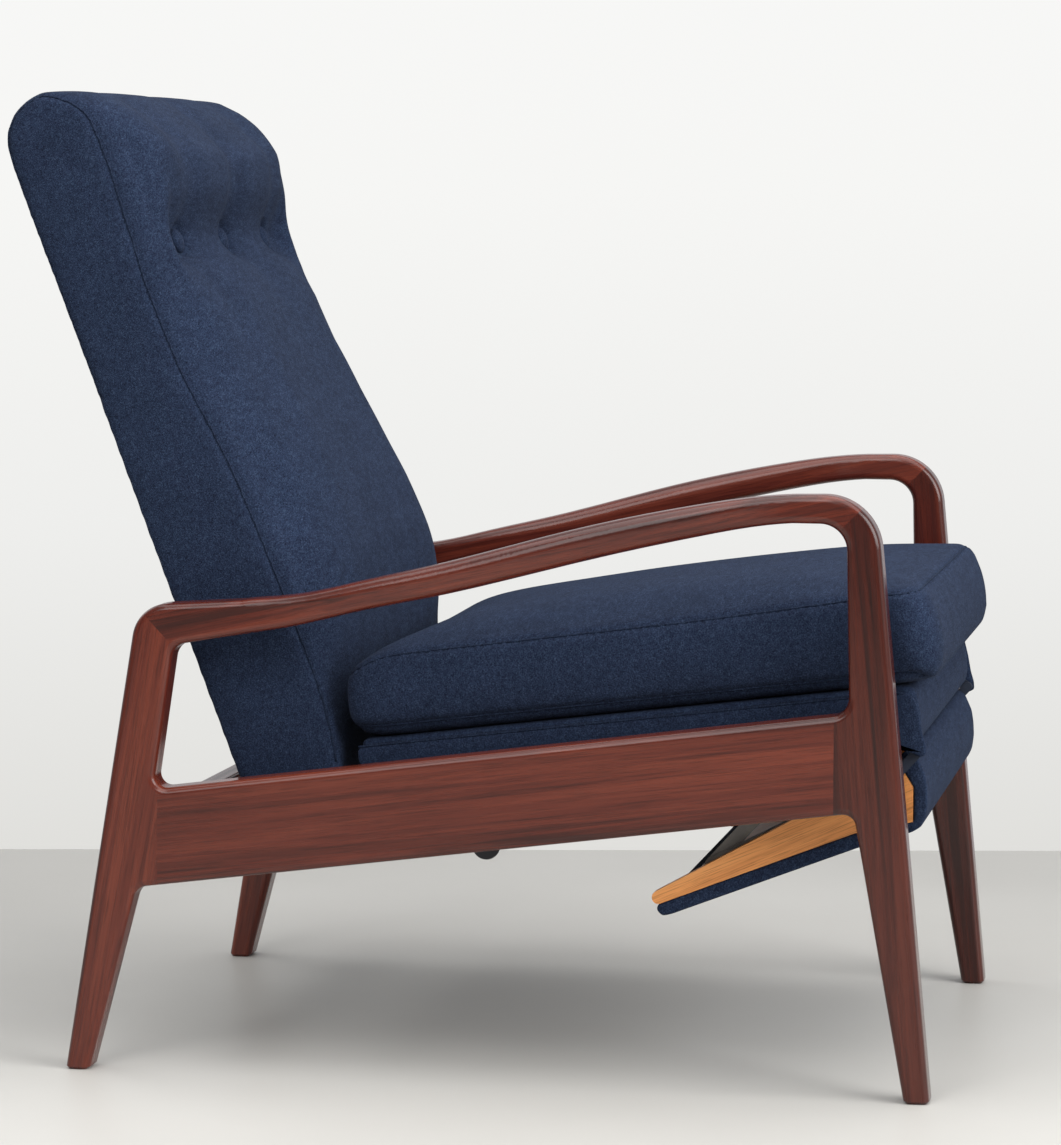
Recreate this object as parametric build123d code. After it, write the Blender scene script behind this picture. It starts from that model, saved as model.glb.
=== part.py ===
from build123d import *
import math
import os

os.makedirs("parts", exist_ok=True)

# Reclining armchair with a sculpted wooden frame. Millimetres, +Z up.
# The chair faces -Y and the sitter's left hand is on the +X side.

# Overall sizes
frame_width = 670.0
side_thickness = 34.0
depth_centre = 34.6
overrun = 60.0
seat_gap = 0.3
fit_gap = 0.2

# Side frame, seen from the side: legs, rail and the two bends of the armrest
rear_foot_outer_y = 433.5
rear_foot_inner_y = 409.0
front_foot_outer_y = -432.0
front_foot_inner_y = -407.0
foot_chamfer = 3.0
rear_bend_y = 356.5
rear_bend_z = 468.0
rear_bend_inner_y = 319.5
rear_bend_inner_z = 429.0
front_bend_y = -375.5
front_bend_z = 588.0
front_bend_inner_y = -347.0
front_bend_inner_z = 559.5
rail_slope = 7.56
rail_height = 96.7
rail_top_rear_y = 341.5
rail_top_rear_z = 284.8
rail_top_front_y = -351.0
rail_low_rear_y = 359.5
rail_low_front_y = -356.0
rail_joint_rear_y = 336.0
rail_joint_front_y = -337.0
edge_rounding = 7.0
rear_bend_radius = 38.0
rear_bend_inner_radius = 17.0
front_bend_radius = 56.0
front_bend_inner_radius = 26.0
window_rear_radius = 12.0
window_front_radius = 18.0
rail_low_rear_radius = 16.0
rail_low_front_radius = 12.0
tenon_length = 18.0
tenon_thickness = 12.0
tenon_shoulder = 18.0

# Armrest between its two bends: a plank at the rear, a broad paddle in the middle
arm_rear_y = 250.0
arm_rear_z = 458.0
arm_rear_height = 34.0
arm_front_y = -295.0
arm_front_z = 573.2
arm_front_height = 27.0
arm_paddle_width = 51.0
arm_paddle_height = 33.0
arm_outset = 7.0
arm_bevel = 11.0
arm_round = 13.0
arm_station_shares = (
    (0.045, 0.028, 0.98, 0.03),
    (0.120, 0.086, 0.90, 0.15),
    (0.215, 0.195, 0.88, 0.42),
    (0.344, 0.330, 0.93, 0.72),
    (0.466, 0.475, 0.98, 0.92),
    (0.587, 0.628, 1.00, 1.00),
    (0.725, 0.785, 0.97, 0.90),
    (0.833, 0.890, 0.92, 0.62),
    (0.920, 0.962, 0.86, 0.25),
    (0.970, 0.990, 0.83, 0.06),
)

# Cross rails of the frame and their angle brackets
cross_rail_thickness = 24.0
cross_rail_round = 4.0
rear_cross_rail_height = 50.0
rear_cross_rail_y = 352.0
rear_cross_rail_z = 232.0
middle_cross_rail_height = 32.0
middle_cross_rail_y = -83.0
middle_cross_rail_z = 268.0
bracket_leg = 32.0
bracket_thickness = 3.0
bracket_height = 28.0
bracket_hole_share = 0.7
bracket_level_share = 0.26
screw_head_diameter = 8.0
screw_head_height = 2.0
screw_seat = 0.05

# Seat platform, measured in its own sloping frame from the rear end of the deck
seat_slope = 7.1
deck_rear_y = 146.0
deck_rear_z = 331.0
deck_length = 557.0
deck_thickness = 12.0
deck_skirt_height = 22.0
deck_skirt_thickness = 3.0
deck_roll_height = 62.0
deck_roll_depth = 24.0
deck_roll_radius = 21.0
deck_edge_radius = 4.0
seat_rail_side_gap = 31.0
seat_rail_width = 26.0
seat_rail_height = 42.0
seat_webbing_drop = 7.0
webbing_width = 50.0
webbing_thickness = 2.5
webbing_count = 7

# Seat cushion
cushion_side_gap = 15.0
cushion_rear_lead = 3.0
cushion_front_lead = 31.0
cushion_height = 88.0
cushion_crown = 14.0
cushion_corner = 15.0
cushion_station_shares = (
    (0.000, 0.955, 0.170, 0.700, 0.00),
    (0.012, 0.975, 0.070, 0.860, 0.15),
    (0.035, 0.990, 0.015, 0.945, 0.40),
    (0.100, 0.995, 0.000, 0.985, 0.75),
    (0.300, 0.996, 0.000, 1.000, 1.00),
    (0.550, 0.996, 0.000, 1.005, 1.05),
    (0.800, 0.998, 0.000, 1.005, 0.95),
    (0.930, 1.000, 0.000, 0.985, 0.65),
    (0.970, 0.996, 0.030, 0.930, 0.40),
    (0.990, 0.985, 0.100, 0.820, 0.15),
    (1.000, 0.960, 0.220, 0.680, 0.00),
)

# Back, measured in its own leaning frame from the lower rear edge
back_lean = 20.6
back_rear_y = 254.2
back_rear_z = 248.0
back_length = 757.0
back_depth = 168.0
back_edge_radius = 9.0
button_spacing_share = 0.634
button_fold = 21.0
button_row_share = 0.762
button_seam_share = 0.536
button_front_share = 0.762
button_diameter = 28.0
button_sink = 4.0
button_body_height = 9.0
button_dome_height = 4.0
crown_side_share = 0.975
crown_swell_share = 1.0
crown_edge_share = 0.86
back_station_shares = (
    (0.000, 0.643, 0.667, 0.00, 1.000, 0.000),
    (0.046, 0.673, 0.714, 0.00, 1.000, 0.000),
    (0.119, 0.685, 0.804, 0.00, 1.000, 0.000),
    (0.159, 0.682, 0.881, 0.00, 1.000, 0.000),
    (0.198, 0.676, 0.952, 0.00, 1.000, 0.000),
    (0.271, 0.661, 1.000, 0.00, 1.000, 0.000),
    (0.357, 0.643, 0.982, 0.00, 1.000, 0.000),
    (0.432, 0.631, 0.952, 0.00, 1.000, 0.000),
    (0.528, 0.580, 0.905, 0.00, 1.000, 0.000),
    (0.614, 0.536, 0.863, 0.06, 1.000, 0.000),
    (0.696, 0.524, 0.804, 0.40, 1.000, 0.000),
    (0.729, 0.530, 0.780, 0.80, 1.000, 0.000),
    (0.762, 0.536, 0.762, 1.00, 1.000, 0.000),
    (0.793, 0.542, 0.798, 0.78, 1.000, 0.000),
    (0.820, 0.548, 0.863, 0.40, 1.000, 0.000),
    (0.864, 0.554, 0.893, 0.10, 1.000, 0.000),
    (0.911, 0.560, 0.845, 0.00, 1.000, 0.000),
    (0.946, 0.548, 0.744, 0.00, 0.998, 0.012),
    (0.971, 0.482, 0.625, 0.00, 0.990, 0.077),
    (0.991, 0.369, 0.446, 0.00, 0.970, 0.179),
    (1.000, 0.335, 0.375, 0.00, 0.945, 0.220),
)

# Wooden frame, webbing and rear panel inside the back
pocket_depth = 40.0
pocket_margin = 34.0
pocket_foot = 24.0
pocket_length = 640.0
stile_width = 42.0
stile_depth = 24.0
back_rail_height = 46.0
back_web_count = 4
back_panel_thickness = 8.0

# Hinges of the back: a pin in each armrest, and a pin in a slot of the seat's lug below
pivot_y = 235.0
pivot_z = 459.0
pivot_plate_thickness = 3.0
pivot_plate_width = 24.0
pivot_plate_end_y = 296.0
pivot_plate_end_z = 451.0
pivot_pin_diameter = 12.0
pivot_pin_clearance = 0.05
pivot_pin_depth = 18.0
pivot_collar_diameter = 22.0
low_pin_y = 236.0
low_pin_z = 266.0
low_pin_diameter = 10.0
low_pin_plate_diameter = 20.0
low_pin_reach = 7.5
lug_thickness = 3.0
lug_play_x = 0.5
lug_slot_side_play = 1.4
lug_slot_top_play = 7.4
lug_slot_low_play = 2.4
lug_wall = 6.0
lug_start_y = 128.0
lug_start_z = 294.0
lug_start_height = 16.0
lug_spacer_length = 30.0

# Slides of the seat
channel_height = 14.0
channel_depth = 14.0
channel_wall = 2.0
channel_length = 410.0
channel_drop = 35.0
channel_centre_y = 0.0
channel_screw_count = 3
carrier_width = 28.0
carrier_hang = 12.0
carrier_y = 10.0
slide_clearance = 0.3
slide_tip_clearance = 0.5
slide_length = 250.0
slide_centre_y = 16.0
slide_plate_thickness = 3.0
slide_plate_top = 28.0
slide_plate_low = 62.0
slide_plate_rear = 4.0

# Footrest, stored under the front of the seat; its places are measured from its hinge
cheek_thickness = 16.0
cheek_tip_y = 263.0
cheek_tip_z = -163.0
cheek_tip_height = 13.0
cheek_knee_y = 63.0
cheek_knee_z = -84.0
cheek_front_y = 6.0
cheek_front_low_z = -71.0
cheek_front_high_z = -37.0
cheek_top_y = 19.0
cheek_top_z = -16.0
cheek_bend_y = 128.4
cheek_bend_z = -75.0
cheek_tip_radius = 6.0
cheek_edge_radius = 1.5
pad_thickness = 13.5
pad_low_y = 6.0
pad_low_z = -81.0
pad_lip_y = -2.5
pad_lip_z = -76.0
pad_front_y = -8.0
pad_front_z = -50.0
pad_upper_y = -5.5
pad_upper_z = -25.0
pad_top_y = 2.0
pad_top_z = -9.0
pad_rear_y = 14.0
pad_rear_z = -5.0
pad_tip_radius = 5.5
pad_back_y = 21.0
board_thickness = 6.0
board_end_gap = 26.0
front_block_depth = 20.0
footrest_hinge_setback = 1.668
footrest_hinge_drop = 2.132
hinge_pin_diameter = 6.0
hinge_pin_clearance = 0.05
hinge_knuckle_diameter = 10.0
hinge_plate_thickness = 3.0
hinge_side_gap = 0.3
hinge_plate_length = 86.0
hinge_plate_top = 26.0
hinge_plate_low = 50.0
arm_plate_end_y = 41.0
arm_plate_end_z = -46.0

# Folding stays of the footrest; their places are measured from the footrest's hinge
stay_thickness = 3.0
stay_width = 14.0
stay_gap = 0.3
stay_pin_diameter = 8.0
stay_pin_clearance = 0.05
stay_top_y = 108.0
stay_top_z = -14.0
stay_knee_y = 207.0
stay_knee_z = -123.0
stay_foot_y = 113.0
stay_foot_z = -74.0
stay_bracket_width = 18.0
stay_bracket_reach = 26.0

# Values worked out from the sizes above
half_width = frame_width / 2
side_low_x = -half_width
side_mid_x = side_low_x + side_thickness / 2
inner_x = half_width - side_thickness
seat_rail_outer_x = inner_x - seat_rail_side_gap
cushion_half_width = inner_x - cushion_side_gap
back_half_width = seat_rail_outer_x + deck_skirt_thickness
cheek_outer_x = seat_rail_outer_x - hinge_plate_thickness - hinge_side_gap
deck_roll_half_width = cheek_outer_x - seat_gap
cushion_length = deck_length + cushion_rear_lead + cushion_front_lead
button_spacing = back_half_width * button_spacing_share
rail_rise_share = math.tan(math.radians(rail_slope))
back_u = (math.sin(math.radians(back_lean)), math.cos(math.radians(back_lean)))
seat_place = Pos(0, deck_rear_y, deck_rear_z) * Rot(-seat_slope, 0, 0)
hinge_along = footrest_hinge_setback - deck_length
hinge_spot = (seat_place * Pos(0, hinge_along, -deck_roll_height - footrest_hinge_drop)).position
hinge_place = Pos(0, hinge_spot.Y, hinge_spot.Z)


def rail_top_z(y):
    """Height of the rail's top edge at a place along the chair."""
    return rail_top_rear_z + (rail_top_rear_y - y) * rail_rise_share


def rail_low_z(y):
    """Height of the rail's lower edge at a place along the chair."""
    return rail_top_z(y) - rail_height


def side_face(points, radii=()):
    """Closed outline in depth and height; radii pairs a corner's number with its rounding."""
    face = make_face(Polyline(*points, close=True))
    for number, radius in radii:
        corner = face.vertices().sort_by_distance(Vector(*points[number], 0))[0]
        face = fillet(corner, radius)
    return face


def side_plate(face, x_low, thickness):
    """Side outline given a thickness across the chair, from x_low towards +X."""
    return extrude(Plane.YZ.offset(x_low) * face, amount=thickness)


def mirrored(shape):
    """The same piece on the other side of the chair."""
    return mirror(shape, about=Plane.YZ)


def block(x_size, y_size, z_size, x, y, z):
    """Box by its size and centre."""
    return Pos(x, y, z) * Box(x_size, y_size, z_size)


def back_point(x, along, out):
    """Place in the chair for a place in the back: along its length and out from its rear face."""
    y = back_rear_y + along * back_u[0] - out * back_u[1]
    z = back_rear_z + along * back_u[1] + out * back_u[0]
    return Vector(x, y, z)


def back_plane(along):
    """Plane across the back; its local x is the chair's and its local y points to the rear."""
    return Plane(origin=back_point(0, along, 0), x_dir=(1, 0, 0), z_dir=(0, *back_u))


def back_block(x_size, along_size, out_size, x, along, out):
    """Box in the back's own frame by its size and centre."""
    return back_plane(along) * Pos(x, -out, 0) * Box(x_size, out_size, along_size)


def disc(x_low, y, z, diameter, thickness):
    """Round bar along X from x_low."""
    return extrude(Plane.YZ.offset(x_low) * Pos(y, z) * Circle(diameter / 2), amount=thickness)


def screw(place):
    """Round screw head that stands on the place's plane."""
    dome = (screw_head_diameter ** 2 / 4 + screw_head_height ** 2) / (2 * screw_head_height)
    head = Pos(0, 0, screw_head_height - dome) * Sphere(dome)
    trim = Pos(0, 0, screw_head_height / 2) * Cylinder(screw_head_diameter, screw_head_height)
    return place * Pos(0, 0, screw_seat) * (head & trim)


def link(x_low, thickness, start, end, width):
    """Flat bar with round ends from one pivot to another."""
    bar = disc(x_low, start[0], start[1], width, thickness) + disc(x_low, end[0], end[1], width, thickness)
    step_y = end[0] - start[0]
    step_z = end[1] - start[1]
    length = math.hypot(step_y, step_z)
    across_y = step_z / length * width / 2
    across_z = -step_y / length * width / 2
    outline = Polyline(
        (start[0] + across_y, start[1] + across_z),
        (end[0] + across_y, end[1] + across_z),
        (end[0] - across_y, end[1] - across_z),
        (start[0] - across_y, start[1] - across_z),
        close=True)
    return bar + side_plate(make_face(outline), x_low, thickness)


# Side frame
def side_blank():
    """Legs, rail and armrest bends cut from one outline, with rounded edges."""
    arm_half_rear = arm_rear_height / 2
    arm_half_front = arm_front_height / 2
    points = (
        (rear_foot_outer_y, 0),
        (rear_bend_y, rear_bend_z),
        (arm_rear_y, arm_rear_z + arm_half_rear),
        (arm_rear_y, arm_rear_z - arm_half_rear),
        (rear_bend_inner_y, rear_bend_inner_z),
        (rail_top_rear_y, rail_top_rear_z),
        (rail_top_front_y, rail_top_z(rail_top_front_y)),
        (front_bend_inner_y, front_bend_inner_z),
        (arm_front_y, arm_front_z - arm_half_front),
        (arm_front_y, arm_front_z + arm_half_front),
        (front_bend_y, front_bend_z),
        (front_foot_outer_y, 0),
        (front_foot_inner_y, 0),
        (rail_low_front_y, rail_low_z(rail_low_front_y)),
        (rail_low_rear_y, rail_low_z(rail_low_rear_y)),
        (rear_foot_inner_y, 0),
    )
    radii = (
        (1, rear_bend_radius), (4, rear_bend_inner_radius), (5, window_rear_radius),
        (6, window_front_radius), (7, front_bend_inner_radius), (10, front_bend_radius),
        (13, rail_low_front_radius), (14, rail_low_rear_radius),
    )
    blank = side_plate(side_face(points, radii), side_low_x, side_thickness)
    long_edges = [
        edge for edge in blank.edges()
        if edge.bounding_box().size.X < seat_gap
        and edge.center().Z > seat_gap
        and abs(edge.center().Y - arm_rear_y) > seat_gap
        and abs(edge.center().Y - arm_front_y) > seat_gap
    ]
    blank = fillet(long_edges, edge_rounding)
    foot_edges = [edge for edge in blank.edges() if edge.bounding_box().max.Z < seat_gap]
    return chamfer(foot_edges, foot_chamfer)


def cutter(points):
    """Prism right across the side frame, to divide the blank."""
    return side_plate(make_face(Polyline(*points, close=True)), side_low_x - overrun,
                      side_thickness + 2 * overrun)


def mitre(inner, outer, arm_y):
    """Prism on the armrest's side of the joint that runs from the inner to the outer bend."""
    step_y = outer[0] - inner[0]
    step_z = outer[1] - inner[1]
    return cutter((
        (inner[0] - step_y, inner[1] - step_z),
        (outer[0] + step_y, outer[1] + step_z),
        (arm_y, outer[1] + step_z),
        (arm_y, inner[1] - step_z),
    ))


def arm_section(y, z, height, width, paddle_share):
    """Cross-section of the armrest: square plank that turns into a bevelled, rounded paddle."""
    middle = side_mid_x - arm_outset * paddle_share
    bevel = arm_bevel * paddle_share
    top = z + height / 2
    low = z - height / 2
    points = (
        (middle - width / 2 + bevel, low),
        (middle + width / 2 - bevel, low),
        (middle + width / 2, top),
        (middle - width / 2, top),
    )
    radius = edge_rounding + (arm_round - edge_rounding) * paddle_share
    face = make_face(Polyline(*points, close=True))
    face = fillet(face.vertices(), radius)
    return Plane.XZ.offset(-y) * face


def armrest(blank, rear_cut, front_cut):
    """Bends from the blank, joined by a paddle lofted from one bend's end face to the other's."""
    rear = blank & rear_cut
    front = blank & front_cut
    sections = [rear.faces().sort_by(Axis.Y)[0]]
    for along_share, rise_share, height_share, paddle_share in arm_station_shares:
        y = arm_rear_y + (arm_front_y - arm_rear_y) * along_share
        z = arm_rear_z + (arm_front_z - arm_rear_z) * rise_share
        width = side_thickness + (arm_paddle_width - side_thickness) * paddle_share
        sections.append(arm_section(y, z, arm_paddle_height * height_share, width, paddle_share))
    sections.append(front.faces().sort_by(Axis.Y)[-1])
    return rear + loft(sections) + front


def tenon(joint_y, direction, clearance):
    """Tenon of the rail beyond its joint; the clearance makes it the mortise."""
    length = tenon_length + clearance
    height = rail_height - 2 * tenon_shoulder + 2 * clearance
    y = joint_y + direction * length / 2
    z = (rail_top_z(joint_y) + rail_low_z(joint_y)) / 2
    return block(tenon_thickness + 2 * clearance, length, height, side_mid_x, y, z)


def side_frame():
    """Right-hand side frame as its four glued pieces."""
    blank = side_blank()
    rear_cut = mitre((rear_bend_inner_y, rear_bend_inner_z), (rear_bend_y, rear_bend_z), arm_rear_y)
    front_inner = (front_bend_inner_y, front_bend_inner_z)
    front_cut = mitre(front_inner, (front_bend_y, front_bend_z), arm_front_y)
    above = window_front_radius
    rail_cut = cutter((
        (rail_joint_rear_y, rail_low_z(rail_joint_rear_y) - above),
        (rail_joint_rear_y, rail_top_z(rail_joint_rear_y) + above),
        (rail_joint_front_y, rail_top_z(rail_joint_front_y) + above),
        (rail_joint_front_y, rail_low_z(rail_joint_front_y) - above),
    ))
    rest = blank - rear_cut - front_cut - rail_cut
    legs = rest.solids().sort_by(Axis.Y)
    front_leg = legs[0] - tenon(rail_joint_front_y, -1, fit_gap)
    rear_leg = legs[-1] - tenon(rail_joint_rear_y, 1, fit_gap)
    rail = (blank & rail_cut) + tenon(rail_joint_rear_y, 1, 0) + tenon(rail_joint_front_y, -1, 0)
    arm = armrest(blank, rear_cut, front_cut) - pivot_bore()
    return {"rear_leg": rear_leg, "front_leg": front_leg, "side_rail": rail, "armrest": arm}


def pivot_bore():
    """Blind hole in the armrest's inner face for the back's pivot pin."""
    diameter = pivot_pin_diameter + 2 * pivot_pin_clearance
    return disc(-inner_x - pivot_pin_depth, pivot_y, pivot_z, diameter, pivot_pin_depth + overrun)


def cross_rail(y, z, height):
    """Straight rail between the two side frames."""
    rail = block(2 * inner_x, cross_rail_thickness, height, 0, y, z)
    return fillet(rail.edges().filter_by(Axis.X), cross_rail_round)


def angle_bracket(z, face_y):
    """Steel angle between a cross rail and the inner face of the right-hand side rail."""
    wall = block(bracket_thickness, bracket_leg, bracket_height,
                 -inner_x + bracket_thickness / 2, face_y + bracket_leg / 2, z)
    foot = block(bracket_leg, bracket_thickness, bracket_height,
                 -inner_x + bracket_leg / 2, face_y + bracket_thickness / 2, z)
    return wall + foot


def bracket_screws(z, face_y):
    """Four screw heads of one angle bracket, two on each leg."""
    heads = []
    for side in (-1, 1):
        level = z + side * bracket_height * bracket_level_share
        out = bracket_leg * bracket_hole_share
        wall_place = Plane(origin=(-inner_x + bracket_thickness, face_y + out, level), z_dir=(1, 0, 0))
        foot_place = Plane(origin=(-inner_x + out, face_y + bracket_thickness, level), z_dir=(0, 1, 0))
        heads += [screw(wall_place), screw(foot_place)]
    return Compound(children=heads)


# Slides between the frame and the seat
def slope_place(y):
    """Place on the rail's slope, at the slides' height, with local -Y running forward and up."""
    return Pos(0, y, rail_top_z(y) - channel_drop) * Rot(-rail_slope, 0, 0)


def runner_channel():
    """Channel on the inside of the right-hand rail, with the rounded tab that hangs below the rail."""
    mid_x = -inner_x + channel_depth / 2
    outer = block(channel_depth, channel_length, channel_height, mid_x, 0, 0)
    hollow = block(channel_depth, channel_length + overrun, channel_height - 2 * channel_wall,
                   mid_x + channel_wall, 0, 0)
    channel = slope_place(channel_centre_y) * (outer - hollow)
    low = rail_low_z(carrier_y) - carrier_hang + carrier_width / 2
    high = rail_top_z(carrier_y) - channel_drop - channel_height / 2 + channel_wall / 2
    tab = disc(-inner_x, carrier_y, low, carrier_width, channel_wall)
    tab += block(channel_wall, carrier_width, high - low,
                 -inner_x + channel_wall / 2, carrier_y, (low + high) / 2)
    return channel + tab


def channel_screws():
    """Screw heads inside the channel."""
    heads = []
    for number in range(channel_screw_count):
        along = channel_length * ((number + 0.5) / channel_screw_count - 0.5)
        place = Plane(origin=(-inner_x + channel_wall, along, 0), z_dir=(1, 0, 0))
        heads.append(slope_place(channel_centre_y) * screw(place))
    return Compound(children=heads)


def seat_slide():
    """Steel slide of the seat: plate on its side rail, tongue in the channel, slotted lug behind."""
    plate_x = -seat_rail_outer_x - slide_plate_thickness / 2
    plate = seat_block(slide_plate_thickness, slide_length, slide_plate_low - slide_plate_top, plate_x,
                       -slide_plate_rear - slide_length / 2, -(slide_plate_top + slide_plate_low) / 2)
    tip_x = -inner_x + channel_wall + screw_head_height + slide_tip_clearance
    reach = -seat_rail_outer_x - tip_x
    height = channel_height - 2 * channel_wall - 2 * slide_clearance
    tongue = slope_place(slide_centre_y) * block(reach, slide_length, height, tip_x + reach / 2, 0, 0)
    lug_high_x = -back_half_width - pivot_plate_thickness - lug_play_x
    lug_low_x = lug_high_x - lug_thickness
    wide = low_pin_diameter + 2 * lug_slot_side_play
    slot_top = low_pin_z + low_pin_diameter / 2 + lug_slot_top_play
    slot_low = low_pin_z - low_pin_diameter / 2 - lug_slot_low_play
    points = (
        (lug_start_y - lug_spacer_length, lug_start_z),
        (low_pin_y, slot_low - lug_wall),
        (low_pin_y + wide / 2 + lug_wall, slot_low - lug_wall),
        (low_pin_y + wide / 2 + lug_wall, slot_top + lug_wall),
        (lug_start_y, lug_start_z + lug_start_height),
        (lug_start_y - lug_spacer_length, lug_start_z + lug_start_height),
    )
    radii = ((1, lug_wall), (2, lug_wall), (3, lug_wall), (4, lug_wall))
    lug = side_plate(side_face(points, radii), lug_low_x, lug_thickness)
    corner = wide / 2 - slide_clearance
    slot = Pos(low_pin_y, (slot_top + slot_low) / 2) * RectangleRounded(wide, slot_top - slot_low, corner)
    lug -= side_plate(slot, lug_low_x - overrun, lug_thickness + 2 * overrun)
    spacer_thickness = -seat_rail_outer_x - lug_high_x
    spacer = block(spacer_thickness, lug_spacer_length, lug_start_height,
                   lug_high_x + spacer_thickness / 2, lug_start_y - lug_spacer_length / 2,
                   lug_start_z + lug_start_height / 2)
    return plate + tongue + spacer + lug


# Seat platform
def seat_block(x_size, y_size, z_size, x, y, z):
    """Box in the seat's own frame."""
    return seat_place * block(x_size, y_size, z_size, x, y, z)


def seat_rails():
    """Two long rails and two cross rails of the platform."""
    length = deck_length - deck_roll_depth - seat_gap
    z = -deck_thickness - seat_rail_height / 2
    side_x = seat_rail_outer_x - seat_rail_width / 2
    inside = 2 * (seat_rail_outer_x - seat_rail_width)
    side = seat_block(seat_rail_width, length, seat_rail_height, -side_x, -length / 2, z)
    rear = seat_block(inside, seat_rail_width, seat_rail_height, 0, -seat_rail_width / 2, z)
    front = seat_block(inside, seat_rail_width, seat_rail_height, 0, -length + seat_rail_width / 2, z)
    return side, rear, front


def seat_webbing():
    """Elastic straps from side rail to side rail, just under the deck."""
    length = deck_length - deck_roll_depth - 2 * seat_rail_width
    pitch = length / webbing_count
    z = -deck_thickness - webbing_thickness / 2 - seat_webbing_drop
    width = 2 * (seat_rail_outer_x - seat_rail_width)
    straps = [
        seat_block(width, webbing_width, webbing_thickness, 0, -seat_rail_width - pitch * (number + 0.5), z)
        for number in range(webbing_count)
    ]
    return Compound(children=straps)


def seat_deck():
    """Padded deck with skirts over the platform's rails, rolled down over its front rail."""
    points = (
        (0, 0),
        (-deck_length, 0),
        (-deck_length, -deck_roll_height),
        (-deck_length + deck_roll_depth, -deck_roll_height),
        (-deck_length + deck_roll_depth, -deck_thickness),
        (0, -deck_thickness),
    )
    radii = ((1, deck_roll_radius), (2, deck_roll_radius))
    roll = side_plate(side_face(points, radii), -deck_roll_half_width, 2 * deck_roll_half_width)
    top_points = (
        (0, 0),
        (-deck_length, 0),
        (-deck_length, -deck_skirt_height),
        (0, -deck_skirt_height),
    )
    top_radii = ((0, deck_edge_radius), (1, deck_roll_radius))
    half = seat_rail_outer_x + deck_skirt_thickness + fit_gap
    top = side_plate(side_face(top_points, top_radii), -half, 2 * half)
    inside = 2 * (seat_rail_outer_x + fit_gap)
    length = deck_length - deck_roll_depth + overrun
    hollow = block(inside, length, overrun, 0, overrun - length / 2, -deck_thickness - overrun / 2)
    return seat_place * (top - hollow + roll)


def cushion_section(along, half, low, high, crown):
    """Boxed cushion cut across: flat under, straight boxing, crowned top."""
    corner = cushion_corner
    diagonal = corner * (1 - math.sqrt(0.5))
    top_corner = corner / 2
    top_diagonal = top_corner * (1 - math.sqrt(0.5))
    edges = []
    for side in (-1, 1):
        edges.append(ThreePointArc(
            (side * (half - corner), low),
            (side * (half - diagonal), low + diagonal),
            (side * half, low + corner)))
        edges.append(Line((side * half, low + corner), (side * half, high - top_corner)))
        edges.append(ThreePointArc(
            (side * half, high - top_corner), (side * (half - top_diagonal), high - top_diagonal),
            (side * (half - top_corner), high)))
    edges.append(Line((-half + corner, low), (half - corner, low)))
    edges.append(ThreePointArc(
        (-half + top_corner, high), (0, high + crown + seat_gap), (half - top_corner, high)))
    return Plane.XZ.offset(-along) * make_face(edges)


def seat_cushion():
    """Loose boxed cushion, lofted from front to rear through its crowned sections."""
    sections = []
    for along_share, width_share, low_share, high_share, crown_share in cushion_station_shares:
        sections.append(cushion_section(
            cushion_rear_lead - cushion_length * along_share,
            cushion_half_width * width_share,
            cushion_height * low_share + seat_gap,
            cushion_height * high_share,
            cushion_crown * crown_share,
        ))
    return seat_place * loft(sections, ruled=True)


# Back
def back_section(along, seam, front, fold, half, inset):
    """Back cut across: flat rear, straight boxing and a front of four swells between the buttons."""
    radius = back_edge_radius
    diagonal = radius * (1 - math.sqrt(0.5))
    crown = front - seam
    middle = front - fold
    beside = seam + crown * crown_side_share - fold
    inner_swell = seam + crown * crown_swell_share
    outer_swell = seam + crown * crown_edge_share
    outer_x = (half + button_spacing) / 2
    edges = [Line((-half + radius, -inset), (half - radius, -inset))]
    for side in (-1, 1):
        edges.append(ThreePointArc(
            (side * (half - radius), -inset),
            (side * (half - diagonal), -inset - diagonal),
            (side * half, -inset - radius)))
        edges.append(Line((side * half, -inset - radius), (side * half, -seam)))
        edges.append(ThreePointArc(
            (side * half, -seam), (side * outer_x, -outer_swell), (side * button_spacing, -beside)))
        edges.append(ThreePointArc(
            (side * button_spacing, -beside), (side * button_spacing / 2, -inner_swell), (0, -middle)))
    return back_plane(along) * make_face(edges)


def button_places():
    """Planes of the three buttons, at the bottom of their seats and facing out of the back."""
    seam = back_depth * button_seam_share
    front = back_depth * button_front_share
    side = seam + (front - seam) * crown_side_share
    places = []
    for x, out in ((-button_spacing, side), (0, front), (button_spacing, side)):
        centre = back_point(x, back_length * button_row_share, out - button_fold - button_sink)
        places.append(Plane(origin=centre, x_dir=(1, 0, 0), z_dir=(0, -back_u[1], back_u[0])))
    return places


def back_upholstery():
    """Padded back with a headrest roll, folds that run to the buttons and an open pocket behind."""
    sections = []
    for along_share, seam_share, front_share, fold_share, half_share, inset_share in back_station_shares:
        sections.append(back_section(
            back_length * along_share,
            back_depth * seam_share,
            back_depth * front_share,
            button_fold * fold_share,
            back_half_width * half_share,
            back_depth * inset_share,
        ))
    pocket = back_block(
        2 * (back_half_width - pocket_margin), pocket_length, pocket_depth + overrun,
        0, pocket_foot + pocket_length / 2, (pocket_depth - overrun) / 2)
    padding = loft(sections, ruled=True) - pocket
    for place in button_places():
        seat = Pos(0, 0, overrun / 2) * Cylinder(button_diameter / 2 + fit_gap / 2, overrun)
        padding -= place * seat
    return padding


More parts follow.
